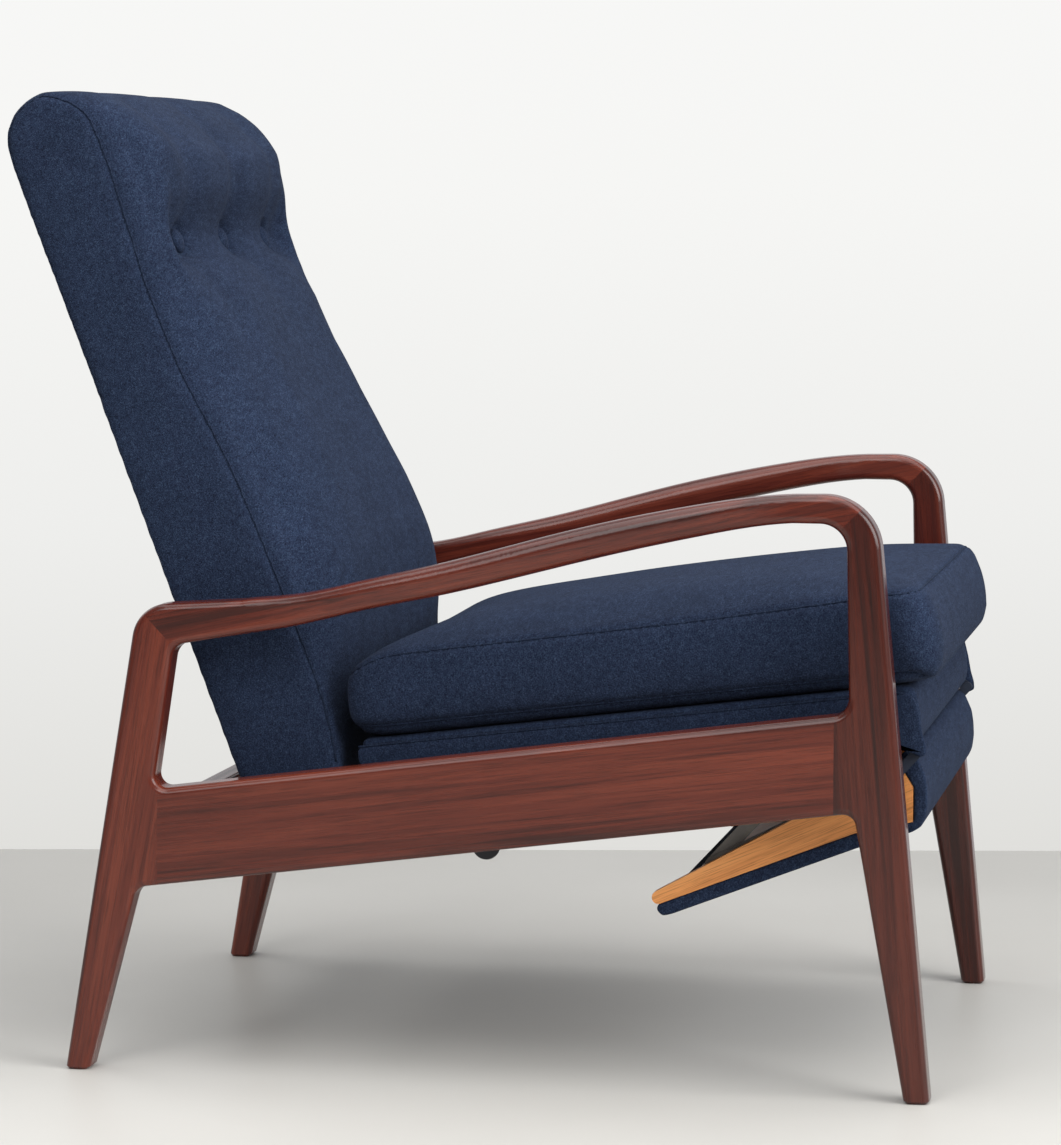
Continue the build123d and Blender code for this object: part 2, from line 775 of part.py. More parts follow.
def back_frame():
    """Wooden stiles and rails that stand in the pocket."""
    half = back_half_width - pocket_margin - fit_gap
    low = pocket_foot + fit_gap
    length = pocket_length - 2 * fit_gap
    out = pocket_depth - fit_gap - stile_depth / 2
    stile = back_block(stile_width, length, stile_depth, -half + stile_width / 2, low + length / 2, out)
    inside = 2 * (half - stile_width)
    rails = {}
    for name, share in (("back_lower_rail", 0), ("back_middle_rail", 0.5), ("back_top_rail", 1)):
        along = low + back_rail_height / 2 + (length - back_rail_height) * share
        rails[name] = back_block(inside, back_rail_height, stile_depth, 0, along, out)
    return stile, rails


def back_webbing():
    """Straps across the back frame, between its rails."""
    half = back_half_width - pocket_margin - fit_gap - stile_width
    low = pocket_foot + fit_gap + back_rail_height
    length = pocket_length - 2 * fit_gap - 2 * back_rail_height
    pitch = length / back_web_count
    out = pocket_depth - fit_gap - webbing_thickness
    straps = []
    for number in range(back_web_count):
        along = low + pitch * (number + 0.5)
        if abs(along - low - length / 2) > (webbing_width + back_rail_height) / 2:
            straps.append(back_block(2 * half, webbing_width, webbing_thickness, 0, along, out))
    return Compound(children=straps)


def back_panel():
    """Fabric covered board that closes the pocket, flush with the rear of the back."""
    half = back_half_width - pocket_margin - fit_gap
    length = pocket_length - 2 * fit_gap
    panel = back_block(2 * half, length, back_panel_thickness, 0,
                       pocket_foot + fit_gap + length / 2, back_panel_thickness / 2)
    return panel


def back_buttons():
    """Three covered buttons, each domed and sunk in its seat."""
    radius = button_diameter / 2
    dome_radius = (radius ** 2 + button_dome_height ** 2) / (2 * button_dome_height)
    height = button_body_height + button_dome_height
    buttons = []
    for place in button_places():
        ball = Pos(0, 0, height - dome_radius) * Sphere(dome_radius)
        cap = Pos(0, 0, button_body_height + button_dome_height / 2) * Cylinder(radius, button_dome_height)
        body = Pos(0, 0, button_body_height / 2) * Cylinder(radius, button_body_height)
        buttons.append(place * (body + (ball & cap)))
    return Compound(children=buttons)


# Hinges of the back
def pivot_plate():
    """Steel plate on the back's right-hand side with the pin that turns in the armrest."""
    low_x = -back_half_width - pivot_plate_thickness
    start = (pivot_y, pivot_z)
    end = (pivot_plate_end_y, pivot_plate_end_z)
    plate = link(low_x, pivot_plate_thickness, start, end, pivot_plate_width)
    collar = disc(-inner_x + seat_gap, pivot_y, pivot_z, pivot_collar_diameter, inner_x - seat_gap + low_x)
    pin_low_x = -inner_x - pivot_pin_depth + seat_gap
    pin = disc(pin_low_x, pivot_y, pivot_z, pivot_pin_diameter, low_x - pin_low_x)
    return plate + collar + pin


def lower_pin():
    """Plate and pin at the foot of the back, in the slot of the seat's lug."""
    low_x = -back_half_width - pivot_plate_thickness
    plate = disc(low_x, low_pin_y, low_pin_z, low_pin_plate_diameter, pivot_plate_thickness)
    pin_low_x = -back_half_width - low_pin_reach
    pin = disc(pin_low_x, low_pin_y, low_pin_z, low_pin_diameter, low_x - pin_low_x)
    return plate + pin


# Footrest
def cheek_low_z(y):
    """Lower edge of the cheek, which is also the top of the pad."""
    if y > cheek_knee_y:
        share = (cheek_tip_y - y) / (cheek_tip_y - cheek_knee_y)
        return cheek_tip_z + (cheek_knee_z - cheek_tip_z) * share
    share = (cheek_knee_y - y) / (cheek_knee_y - cheek_front_y)
    return cheek_knee_z + (cheek_front_low_z - cheek_knee_z) * share


def footrest_cheek():
    """Tapered wooden side of the footrest, right-hand one."""
    points = (
        (cheek_tip_y, cheek_tip_z),
        (cheek_knee_y, cheek_knee_z),
        (cheek_front_y, cheek_front_low_z),
        (cheek_front_y, cheek_front_high_z),
        (cheek_top_y, cheek_top_z),
        (cheek_bend_y, cheek_bend_z),
        (cheek_tip_y, cheek_tip_z + cheek_tip_height),
    )
    radii = ((0, cheek_tip_radius), (6, cheek_tip_radius))
    cheek = side_plate(side_face(points, radii), -cheek_outer_x, cheek_thickness)
    middle_x = cheek_thickness / 2 - cheek_outer_x
    inside = [edge for edge in cheek.edges() if edge.bounding_box().min.X > middle_x]
    cheek = fillet(inside, cheek_edge_radius)
    stud_low_x = -cheek_outer_x + cheek_thickness
    stud_length = -seat_rail_outer_x + seat_rail_width - stay_gap - stud_low_x
    return cheek + disc(stud_low_x, stay_foot_y, stay_foot_z, stay_pin_diameter, stud_length)


def footrest_board():
    """Plywood panel between the cheeks, on the pad."""
    front_y = cheek_front_y + front_block_depth
    rear_y = cheek_tip_y - board_end_gap
    points = (
        (rear_y, cheek_low_z(rear_y)),
        (cheek_knee_y, cheek_knee_z),
        (front_y, cheek_low_z(front_y)),
        (front_y, cheek_low_z(front_y) + board_thickness),
        (cheek_knee_y, cheek_knee_z + board_thickness),
        (rear_y, cheek_low_z(rear_y) + board_thickness),
    )
    half = cheek_outer_x - cheek_thickness
    return side_plate(side_face(points), -half, 2 * half)


def footrest_front_block():
    """Wooden rail across the front of the footrest, between the cheeks."""
    rear_y = cheek_front_y + front_block_depth
    points = (
        (cheek_front_y, cheek_front_low_z),
        (cheek_front_y, cheek_front_high_z),
        (rear_y, cheek_front_high_z),
        (rear_y, cheek_low_z(rear_y)),
    )
    half = cheek_outer_x - cheek_thickness
    return side_plate(side_face(points), -half, 2 * half)


def footrest_pad():
    """Upholstery under the footrest, round its front end and up to the hinge."""
    rear_y = cheek_tip_y - cheek_tip_radius
    slope = math.atan2(cheek_knee_z - cheek_tip_z, cheek_tip_y - cheek_knee_y)
    drop = pad_thickness / math.cos(slope)
    low_end = (rear_y, cheek_low_z(rear_y) - drop)
    knee = (cheek_knee_y, cheek_knee_z - drop)
    front = Spline(
        (pad_low_y, pad_low_z), (pad_lip_y, pad_lip_z), (pad_front_y, pad_front_z),
        (pad_upper_y, pad_upper_z), (pad_top_y, pad_top_z), (pad_rear_y, pad_rear_z))
    outline = [
        Line((rear_y, cheek_low_z(rear_y)), low_end),
        Line(low_end, knee),
        Line(knee, (pad_low_y, pad_low_z)),
        front,
        Line((pad_rear_y, pad_rear_z), (pad_back_y, cheek_top_z)),
        Line((pad_back_y, cheek_top_z), (cheek_top_y, cheek_top_z)),
        Line((cheek_top_y, cheek_top_z), (cheek_front_y, cheek_front_high_z)),
        Line((cheek_front_y, cheek_front_high_z), (cheek_front_y, cheek_front_low_z)),
        Line((cheek_front_y, cheek_front_low_z), (cheek_knee_y, cheek_knee_z)),
        Line((cheek_knee_y, cheek_knee_z), (rear_y, cheek_low_z(rear_y))),
    ]
    face = make_face(outline)
    for corner in ((rear_y, cheek_low_z(rear_y)), low_end):
        vertex = face.vertices().sort_by_distance(Vector(*corner, 0))[0]
        face = fillet(vertex, pad_tip_radius)
    return side_plate(face, -cheek_outer_x, 2 * cheek_outer_x)


def footrest_arm():
    """Steel plate on the cheek's outer face that carries the footrest on its hinge pin."""
    low_x = -cheek_outer_x - hinge_plate_thickness
    end = (arm_plate_end_y, arm_plate_end_z)
    arm = link(low_x, hinge_plate_thickness, (0, 0), end, hinge_knuckle_diameter)
    bore = hinge_pin_diameter + 2 * hinge_pin_clearance
    return arm - disc(low_x - overrun, 0, 0, bore, 2 * overrun)


def hinge_plate():
    """Seat side of the footrest hinge: plate on the seat's side rail, with the pin."""
    low_x = -seat_rail_outer_x - hinge_plate_thickness
    end = deck_length - deck_roll_depth
    start = end - hinge_plate_length
    band = seat_block(hinge_plate_thickness, hinge_plate_length, hinge_plate_low - hinge_plate_top,
                      low_x + hinge_plate_thickness / 2, -(start + end) / 2,
                      -(hinge_plate_top + hinge_plate_low) / 2)
    middle = (hinge_plate_top + hinge_plate_low) / 2
    root = (seat_place * Pos(0, hinge_knuckle_diameter - end, -middle)).position
    plate = band + link(low_x, hinge_plate_thickness, (root.Y, root.Z),
                        (hinge_spot.Y, hinge_spot.Z), hinge_knuckle_diameter)
    pin = disc(low_x, hinge_spot.Y, hinge_spot.Z, hinge_pin_diameter, -cheek_outer_x - low_x)
    return plate + pin


# Folding stays
def bored_link(x_low, start, end, bored):
    """Stay bar with running bores at the chosen ends."""
    bar = link(x_low, stay_thickness, start, end, stay_width)
    bore = stay_pin_diameter + 2 * stay_pin_clearance
    for place in bored:
        bar -= disc(x_low - overrun, place[0], place[1], bore, 2 * overrun)
    return bar


def stays():
    """Bracket with its pin, upper bar with its knee pin, and lower bar of one folding stay."""
    top = (stay_top_y, stay_top_z)
    knee = (stay_knee_y, stay_knee_z)
    foot = (stay_foot_y, stay_foot_z)
    bracket_x = -seat_rail_outer_x + seat_rail_width
    upper_x = bracket_x + stay_thickness + stay_gap
    bracket = link(bracket_x, stay_thickness, top,
                   (stay_top_y, stay_top_z + stay_bracket_reach), stay_bracket_width)
    bracket += disc(bracket_x, stay_top_y, stay_top_z, stay_pin_diameter, 2 * stay_thickness + stay_gap)
    upper = bored_link(upper_x, top, knee, (top,))
    upper += disc(bracket_x, stay_knee_y, stay_knee_z, stay_pin_diameter, upper_x - bracket_x)
    lower = bored_link(bracket_x, knee, foot, (knee,))
    return bracket, upper, lower


def save(name, shape):
    """Write one node, moved so that the chair's box is centred on the origin."""
    moved = Pos(0, -depth_centre, 0) * shape
    export_step(moved, "parts/" + name + ".step")


def save_pair(name, shape):
    """Write the right-hand piece and its mirrored left-hand twin."""
    save(name + "_right", shape)
    save(name + "_left", mirrored(shape))


def build():
    """Make every node."""
    for name, shape in side_frame().items():
        save_pair(name, shape)
    save("rear_cross_rail", cross_rail(rear_cross_rail_y, rear_cross_rail_z, rear_cross_rail_height))
    save("middle_cross_rail", cross_rail(middle_cross_rail_y, middle_cross_rail_z, middle_cross_rail_height))
    face_y = middle_cross_rail_y + cross_rail_thickness / 2
    save_pair("rail_bracket", angle_bracket(middle_cross_rail_z, face_y))
    save_pair("bracket_screws", bracket_screws(middle_cross_rail_z, face_y))
    save_pair("runner_channel", runner_channel())
    save_pair("channel_screws", channel_screws())

    side, rear, front = seat_rails()
    save_pair("seat_side_rail", side)
    save("seat_rear_rail", rear)
    save("seat_front_rail", front)
    save("seat_webbing", seat_webbing())
    save("seat_deck", seat_deck())
    save("seat_cushion", seat_cushion())
    save_pair("seat_slide", seat_slide())
    save_pair("footrest_hinge", hinge_plate())

    stile, rails = back_frame()
    save_pair("back_stile", stile)
    for name, shape in rails.items():
        save(name, shape)
    save("back_webbing", back_webbing())
    save("back_upholstery", back_upholstery())
    save("back_rear_panel", back_panel())
    save("back_buttons", back_buttons())
    save_pair("back_pivot_plate", pivot_plate())
    save_pair("back_lower_pin", lower_pin())

    save_pair("footrest_cheek", hinge_place * footrest_cheek())
    save("footrest_board", hinge_place * footrest_board())
    save("footrest_front_block", hinge_place * footrest_front_block())
    save("footrest_pad", hinge_place * footrest_pad())
    save_pair("footrest_arm", hinge_place * footrest_arm())

    bracket, upper, lower = stays()
    save_pair("stay_bracket", hinge_place * bracket)
    save_pair("stay_upper", hinge_place * upper)
    save_pair("stay_lower", hinge_place * lower)


build()
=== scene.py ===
import math

import bmesh
import bpy
import numpy as np
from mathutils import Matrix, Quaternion, Vector
from mathutils.bvhtree import BVHTree


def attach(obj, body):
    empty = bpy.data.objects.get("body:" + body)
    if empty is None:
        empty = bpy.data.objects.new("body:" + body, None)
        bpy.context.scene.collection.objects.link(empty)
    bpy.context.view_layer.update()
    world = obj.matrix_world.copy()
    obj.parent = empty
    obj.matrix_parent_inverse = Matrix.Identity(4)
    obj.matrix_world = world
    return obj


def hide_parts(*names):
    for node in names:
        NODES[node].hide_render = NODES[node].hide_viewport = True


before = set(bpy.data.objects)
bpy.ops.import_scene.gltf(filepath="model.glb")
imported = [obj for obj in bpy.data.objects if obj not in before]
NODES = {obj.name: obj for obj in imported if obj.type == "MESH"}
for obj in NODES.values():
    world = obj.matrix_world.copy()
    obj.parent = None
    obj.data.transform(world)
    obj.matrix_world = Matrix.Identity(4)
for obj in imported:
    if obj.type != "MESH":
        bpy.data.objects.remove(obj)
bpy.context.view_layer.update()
SCENE = bpy.context.scene

# Shapes are worked out in millimetres and become metres in chair_point
MM = 0.001

# Middle of the chair's depth in the part's own measure
DEPTH_CENTRE = 34.6

# Seat and back frames, as in the part's source: their slope, and the (depth, height) where they start
SEAT_SLOPE = math.radians(7.1)
SEAT_REAR = (146.0, 331.0)
BACK_LEAN = math.radians(20.6)
BACK_FOOT = (254.2, 248.0)


# Places
def chair_point(x, y, z):
    """Millimetres to metres, centred in depth; a single number is spread over the arrays beside it."""
    return np.stack(np.broadcast_arrays(x, y - DEPTH_CENTRE, z), axis=-1) * MM


def seat_point(x, along, up):
    """Seat frame to chair: along runs forward and up the deck, up is its normal."""
    y = SEAT_REAR[0] - along * math.cos(SEAT_SLOPE) + up * math.sin(SEAT_SLOPE)
    z = SEAT_REAR[1] + along * math.sin(SEAT_SLOPE) + up * math.cos(SEAT_SLOPE)
    return chair_point(x, y, z)


def seat_place(points):
    """Chair to seat frame: the x, along and up of points in metres."""
    y = points[:, 1] / MM + DEPTH_CENTRE - SEAT_REAR[0]
    z = points[:, 2] / MM - SEAT_REAR[1]
    along = -y * math.cos(SEAT_SLOPE) + z * math.sin(SEAT_SLOPE)
    up = y * math.sin(SEAT_SLOPE) + z * math.cos(SEAT_SLOPE)
    return points[:, 0] / MM, along, up


def back_point(x, along, out):
    """Back frame to chair: along runs up the rear face, out is its forward normal."""
    y = BACK_FOOT[0] + along * math.sin(BACK_LEAN) - out * math.cos(BACK_LEAN)
    z = BACK_FOOT[1] + along * math.cos(BACK_LEAN) + out * math.sin(BACK_LEAN)
    return chair_point(x, y, z)


def back_place(points):
    """Chair to back frame: the x, along and out of points in metres."""
    y = points[:, 1] / MM + DEPTH_CENTRE - BACK_FOOT[0]
    z = points[:, 2] / MM - BACK_FOOT[1]
    along = y * math.sin(BACK_LEAN) + z * math.cos(BACK_LEAN)
    out = -y * math.cos(BACK_LEAN) + z * math.sin(BACK_LEAN)
    return points[:, 0] / MM, along, out


# Curves and outlines
def smooth_curve(places, values, at):
    """Cubic through a table of places and values that never overshoots: its slope at each place is the
    weighted harmonic mean of the slopes on both sides, or zero where they turn."""
    places = np.asarray(places, float)
    values = np.asarray(values, float)
    gap = np.diff(places)
    slope = np.diff(values) / gap
    tangent = np.zeros(len(places))
    tangent[0] = slope[0]
    tangent[-1] = slope[-1]
    same = slope[:-1] * slope[1:] > 0
    weight_a = 2 * gap[1:] + gap[:-1]
    weight_b = gap[1:] + 2 * gap[:-1]
    safe_a = np.where(same, slope[:-1], 1)
    safe_b = np.where(same, slope[1:], 1)
    tangent[1:-1] = np.where(same, (weight_a + weight_b) / (weight_a / safe_a + weight_b / safe_b), 0)
    at = np.clip(at, places[0], places[-1])
    k = np.clip(np.searchsorted(places, at) - 1, 0, len(gap) - 1)
    t = (at - places[k]) / gap[k]
    start = (1 + 2 * t) * (1 - t) ** 2 * values[k] + t * (1 - t) ** 2 * gap[k] * tangent[k]
    end = t * t * (3 - 2 * t) * values[k + 1] + t * t * (t - 1) * gap[k] * tangent[k + 1]
    return start + end


def rounded_plan(rear, front, half, corner, count):
    """Rounded rectangle as (x, along), evenly spaced by length. Each of its four turns is a straight
    side and then a quarter circle: corner's centre + corner * (cos, sin) of the angle, less what is
    left of the straight side along its heading."""
    across = half - corner
    low = rear + corner
    high = front - corner
    centres = np.array([(across, high), (-across, high), (-across, low), (across, low)])
    sides = np.array([high - low, 2 * across, high - low, 2 * across])
    ends = np.cumsum(sides + corner * math.pi / 2)
    distance = np.arange(count) * ends[-1] / count
    turn = np.searchsorted(ends, distance)
    distance = distance - np.append(0, ends[:-1])[turn]
    straight = np.minimum(distance, sides[turn])
    first = turn * math.pi / 2
    angle = first + (distance - straight) / corner
    heading = np.stack([-np.sin(first), np.cos(first)], axis=-1)
    rim = np.stack([np.cos(angle), np.sin(angle)], axis=-1)
    return centres[turn] + corner * rim - heading * (sides[turn] - straight)[:, None]


def outward(loop):
    """Unit normals of a closed outline, turned outwards by the sign of its area."""
    following = np.roll(loop, -1, axis=0)
    step = following - np.roll(loop, 1, axis=0)
    area = np.sum(loop[:, 0] * following[:, 1] - following[:, 0] * loop[:, 1])
    normals = np.stack([step[:, 1], -step[:, 0]], axis=-1) * np.sign(area)
    return normals / np.linalg.norm(normals, axis=1, keepdims=True)


def rounded_loop(points, count, rounds):
    """Closed outline through the points, evenly spaced along its straight runs; its corners are then
    softened by rounds of averaging, each point with a quarter of either neighbour."""
    closed = np.array(points + points[:1], float)
    length = np.append(0, np.cumsum(np.linalg.norm(np.diff(closed, axis=0), axis=1)))
    at = np.arange(count) * length[-1] / count
    loop = np.stack([np.interp(at, length, closed[:, 0]), np.interp(at, length, closed[:, 1])], axis=-1)
    for _ in range(rounds):
        loop = (np.roll(loop, 1, axis=0) + 2 * loop + np.roll(loop, -1, axis=0)) / 4
    return loop


# Meshes
WELD = 0.01 * MM
THREAD_SIDES = 6
ANY_WAY = (0.3, 0.5, 0.8)


def mesh_object(name, points, faces):
    """Object at the origin from a list of points in metres and its faces, normals outward."""
    mesh = bpy.data.meshes.new(name)
    mesh.from_pydata([tuple(p) for p in points], [], faces)
    mesh.validate()
    made = bmesh.new()
    made.from_mesh(mesh)
    bmesh.ops.remove_doubles(made, verts=made.verts, dist=WELD)
    bmesh.ops.recalc_face_normals(made, faces=made.faces)
    made.to_mesh(mesh)
    made.free()
    obj = bpy.data.objects.new(name, mesh)
    SCENE.collection.objects.link(obj)
    smooth(obj)
    return obj


def smooth(obj):
    """Smooth shading."""
    obj.data.polygons.foreach_set("use_smooth", [True] * len(obj.data.polygons))


def ring_faces(rings, count):
    """Quads between neighbouring closed rings of the same number of points."""
    near = np.arange(count)
    far = (near + 1) % count
    quads = np.stack([near, far, far + count, near + count], axis=-1)
    starts = count * np.arange(rings - 1)
    return (quads + starts[:, None, None]).reshape(-1, 4).tolist()


def closed_stack(name, rings):
    """Closed body from rings of points; the first and last rings are capped with one face each."""
    count = len(rings[0])
    total = count * len(rings)
    faces = ring_faces(len(rings), count) + [list(range(count)), list(range(total - count, total))]
    return mesh_object(name, np.concatenate(rings), faces)


def tube(name, path, radius, closed=False):
    """Round thread along a path in metres: path + radius * (cos, sin) in the plane across each step,
    that plane's axes being carried along the path without a twist."""
    ends = (path[-1:], path[:1]) if closed else (path[:1], path[-1:])
    extended = np.concatenate([ends[0], path, ends[1]])
    steps = extended[2:] - extended[:-2]
    steps /= np.linalg.norm(steps, axis=1, keepdims=True)
    normal = np.cross(steps[0], ANY_WAY)
    normals = np.zeros_like(steps)
    for k, step in enumerate(steps):
        normal = normal - step * np.dot(normal, step)
        normal /= np.linalg.norm(normal)
        normals[k] = normal
    turn = np.linspace(0, 2 * math.pi, THREAD_SIDES, endpoint=False)[:, None]
    across = np.cos(turn) * normals[:, None] + np.sin(turn) * np.cross(steps, normals)[:, None]
    rings = path[:, None] + radius * across
    if not closed:
        return closed_stack(name, rings)
    shift = int(np.argmin(np.linalg.norm(rings[0] - rings[-1][0], axis=1)))
    near = np.arange(THREAD_SIDES)
    far = (near + 1) % THREAD_SIDES
    last = (len(path) - 1) * THREAD_SIDES
    join = [last + near, last + far, (far + shift) % THREAD_SIDES, (near + shift) % THREAD_SIDES]
    faces = ring_faces(len(path), THREAD_SIDES) + np.stack(join, axis=-1).tolist()
    return mesh_object(name, np.concatenate(rings), faces)


def layered(name, loop, layers, place):
    """Closed body of copies of a side outline: each layer is its x and how far it is drawn inwards."""
    normals = outward(loop)
    rings = []
    for x, inset in layers:
        ring = loop - normals * inset
        rings.append(place(x, ring[:, 0], ring[:, 1]))
    return closed_stack(name, rings)


def bolster(name, loop, half, edge, place):
    """Padded piece with the given side outline: straight across, its ends rounded over a quarter turn,
    x = half - edge * (1 - cos) and inset = edge * (1 - sin)."""
    turns = np.linspace(0, math.pi / 2, 6)
    ends = [(half - edge * (1 - math.cos(turn)), edge * (1 - math.sin(turn))) for turn in turns]
    layers = [(-x, inset) for x, inset in ends]
    layers += [(x, 0.0) for x in np.linspace(-half + edge, half - edge, 90)[1:-1]]
    layers += ends[::-1]
    return layered(name, loop, layers, place)


def vertex_values(mesh, what):
    """The places or normals of a mesh's points, as an array."""
    flat = np.zeros(len(mesh.vertices) * 3)
    mesh.vertices.foreach_get(what, flat)
    return flat.reshape(-1, 3)


def set_places(obj, points):
    """Writes the places of the points back."""
    obj.data.vertices.foreach_set("co", points.ravel())
    obj.data.update()


# Padding and sewing
PRESSURE = 3.0
CLOTH_FRAMES = 20
TINY = 1e-9
RELAX_SHARE = 0.5
GROOVE_BLOCK = 40
GROOVE_REACH = 3
SEAM_DEPTH = 2.2 * MM
SEAM_WIDTH = 4.5 * MM
THREAD_RADIUS = 1.1 * MM
THREAD_RISE_SHARE = 0.35


def bake(obj):
    """Applies the modifiers to the mesh."""
    graph = bpy.context.evaluated_depsgraph_get()
    mesh = bpy.data.meshes.new_from_object(obj.evaluated_get(graph))
    obj.modifiers.clear()
    obj.data = mesh
    smooth(obj)


def remesh(obj, voxel):
    """Even quads by a voxel remesh of the given size in metres."""
    mod = obj.modifiers.new("remesh", "REMESH")
    mod.mode = "VOXEL"
    mod.voxel_size = voxel
    bake(obj)


def subdivide(obj):
    """One level of smooth subdivision."""
    mod = obj.modifiers.new("subdivision", "SUBSURF")
    mod.levels = 1
    mod.render_levels = 1
    bake(obj)


def inflate(obj, held, cap):
    """Cloth with inner pressure and no gravity; held points stay, and none moves further than cap."""
    group = obj.vertex_groups.new(name="held")
    group.add(np.nonzero(held)[0].tolist(), 1.0, "REPLACE")
    mod = obj.modifiers.new("cloth", "CLOTH")
    settings = mod.settings
    settings.quality = 6
    settings.mass = 0.3
    settings.tension_stiffness = 12
    settings.compression_stiffness = 8
    settings.shear_stiffness = 5
    settings.bending_stiffness = 0.6
    settings.use_pressure = True
    settings.uniform_pressure_force = PRESSURE
    settings.effector_weights.gravity = 0
    settings.vertex_group_mass = "held"
    mod.collision_settings.use_collision = False
    mod.point_cache.frame_start = 1
    mod.point_cache.frame_end = CLOTH_FRAMES
    for number in range(1, CLOTH_FRAMES + 1):
        SCENE.frame_set(number)
    graph = bpy.context.evaluated_depsgraph_get()
    start = vertex_values(obj.data, "co")
    step = vertex_values(obj.evaluated_get(graph).data, "co") - start
    length = np.linalg.norm(step, axis=1, keepdims=True)
    step *= np.minimum(1.0, cap / np.maximum(length, TINY))
    obj.modifiers.clear()
    obj.vertex_groups.clear()
    set_places(obj, start + step)
    SCENE.frame_set(1)


def relax(obj, rounds):
    """Smoothing: each point goes half of the way to the mean of its neighbours."""
    edges = np.zeros(len(obj.data.edges) * 2, int)
    obj.data.edges.foreach_get("vertices", edges)
    edges = edges.reshape(-1, 2)
    points = vertex_values(obj.data, "co")
    degree = np.bincount(edges.ravel(), minlength=len(points))[:, None]
    for _ in range(rounds):
        total = np.zeros_like(points)
        np.add.at(total, edges[:, 0], points[edges[:, 1]])
        np.add.at(total, edges[:, 1], points[edges[:, 0]])
        points += RELAX_SHARE * (total / np.maximum(degree, 1) - points)
    set_places(obj, points)


def surface_path(obj, path):
    """Nearest places on the piece's surface for each point of a path, with the normals there."""
    tree = BVHTree.FromObject(obj, bpy.context.evaluated_depsgraph_get())
    found = [tree.find_nearest(Vector(p))[:2] for p in path]
    return np.array([f[0] for f in found]), np.array([f[1] for f in found])


def groove(obj, path, depth, width):
    """Presses a line into the piece by depth * exp(-(gap / width)^2), where gap is the way to the path;
    the path is taken in blocks, each with the points round it."""
    points = vertex_values(obj.data, "co")
    nearest = np.full(len(points), np.inf)
    for start in range(0, len(path), GROOVE_BLOCK):
        block = path[start:start + GROOVE_BLOCK]
        low = block.min(0) - GROOVE_REACH * width
        high = block.max(0) + GROOVE_REACH * width
        inside = np.all((points > low) & (points < high), axis=1)
        if inside.any():
            gap = np.linalg.norm(points[inside][:, None] - block, axis=2).min(1)
            nearest[inside] = np.minimum(nearest[inside], gap)
    press = depth * np.exp(-(nearest / width) ** 2)
    set_places(obj, points - vertex_values(obj.data, "normal") * press[:, None])


def upholster(obj, material, body):
    """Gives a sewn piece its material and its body."""
    obj.data.materials.clear()
    obj.data.materials.append(material)
    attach(obj, body)


def seam(name, obj, path, body, closed=True):
    """A sewn seam: a groove in the piece with a fine raised thread line in it, in wool darkened as painted
    shade.
    """
    on_surface, _ = surface_path(obj, path)
    groove(obj, on_surface, SEAM_DEPTH, SEAM_WIDTH)
    on_surface, normals = surface_path(obj, on_surface)
    line = tube(name, on_surface + normals * THREAD_RADIUS * THREAD_RISE_SHARE, THREAD_RADIUS, closed)
    upholster(line, wool_seam_painted_shade, body)


# Shader nodes
WHITE = (1.0, 1.0, 1.0)
BLACK = (0.0, 0.0, 0.0)


def grey(level):
    """Colour of three equal parts."""
    return (level, level, level)


def shaded(colour, share):
    """Colour times a number."""
    return tuple(part * share for part in colour)


def material_base(name, colour, roughness, metallic=0.0):
    """New material with one principled shader."""
    made = bpy.data.materials.new(name)
    made.use_nodes = True
    made.diffuse_color = (*colour, 1)
    tree = made.node_tree
    shader = tree.nodes["Principled BSDF"]
    shader.inputs["Base Color"].default_value = (*colour, 1)
    shader.inputs["Roughness"].default_value = roughness
    shader.inputs["Metallic"].default_value = metallic
    return made, tree, shader


def feed(tree, socket, value):
    """Puts a number, a colour or another node's output into a socket."""
    if isinstance(value, (int, float)):
        socket.default_value = value
    elif isinstance(value, tuple):
        socket.default_value = (*value, 1)
    else:
        tree.links.new(value, socket)


def place_node(tree, scale=(1, 1, 1), turn=(0, 0, 0)):
    """Object coordinates, turned and then scaled."""
    where = tree.nodes.new("ShaderNodeTexCoord")
    turned = tree.nodes.new("ShaderNodeMapping")
    turned.inputs["Rotation"].default_value = turn
    tree.links.new(where.outputs["Object"], turned.inputs["Vector"])
    scaled = tree.nodes.new("ShaderNodeMapping")
    scaled.inputs["Scale"].default_value = scale
    tree.links.new(turned.outputs["Vector"], scaled.inputs["Vector"])
    return scaled.outputs["Vector"]


def noise_node(tree, vector, frequency, detail, roughness, distortion=0.0):
    """Noise value; the frequency is per metre."""
    node = tree.nodes.new("ShaderNodeTexNoise")
    node.inputs["Scale"].default_value = frequency
    node.inputs["Detail"].default_value = detail
    node.inputs["Roughness"].default_value = roughness
    node.inputs["Distortion"].default_value = distortion
    tree.links.new(vector, node.inputs["Vector"])
    return node.outputs["Fac"]


def ramp_node(tree, value, *stops):
    """Colours along a value; each stop is (place, colour)."""
    node = tree.nodes.new("ShaderNodeValToRGB")
    points = node.color_ramp.elements
    while len(points) < len(stops):
        points.new(0.5)
    for point, (place, colour) in zip(points, stops):
        point.position = place
        point.color = (*colour, 1)
    tree.links.new(value, node.inputs["Fac"])
    return node.outputs["Color"]


def math_node(tree, operation, first, second):
    """Arithmetic on two numbers or values."""
    node = tree.nodes.new("ShaderNodeMath")
    node.operation = operation
    feed(tree, node.inputs[0], first)
    feed(tree, node.inputs[1], second)
    return node.outputs["Value"]


def weighted_sum(tree, first, *others):
    """Sum of values, each given with its weight."""
    total = math_node(tree, "MULTIPLY", *first)
    for value, weight in others:
        total = math_node(tree, "ADD", total, math_node(tree, "MULTIPLY", value, weight))
    return total


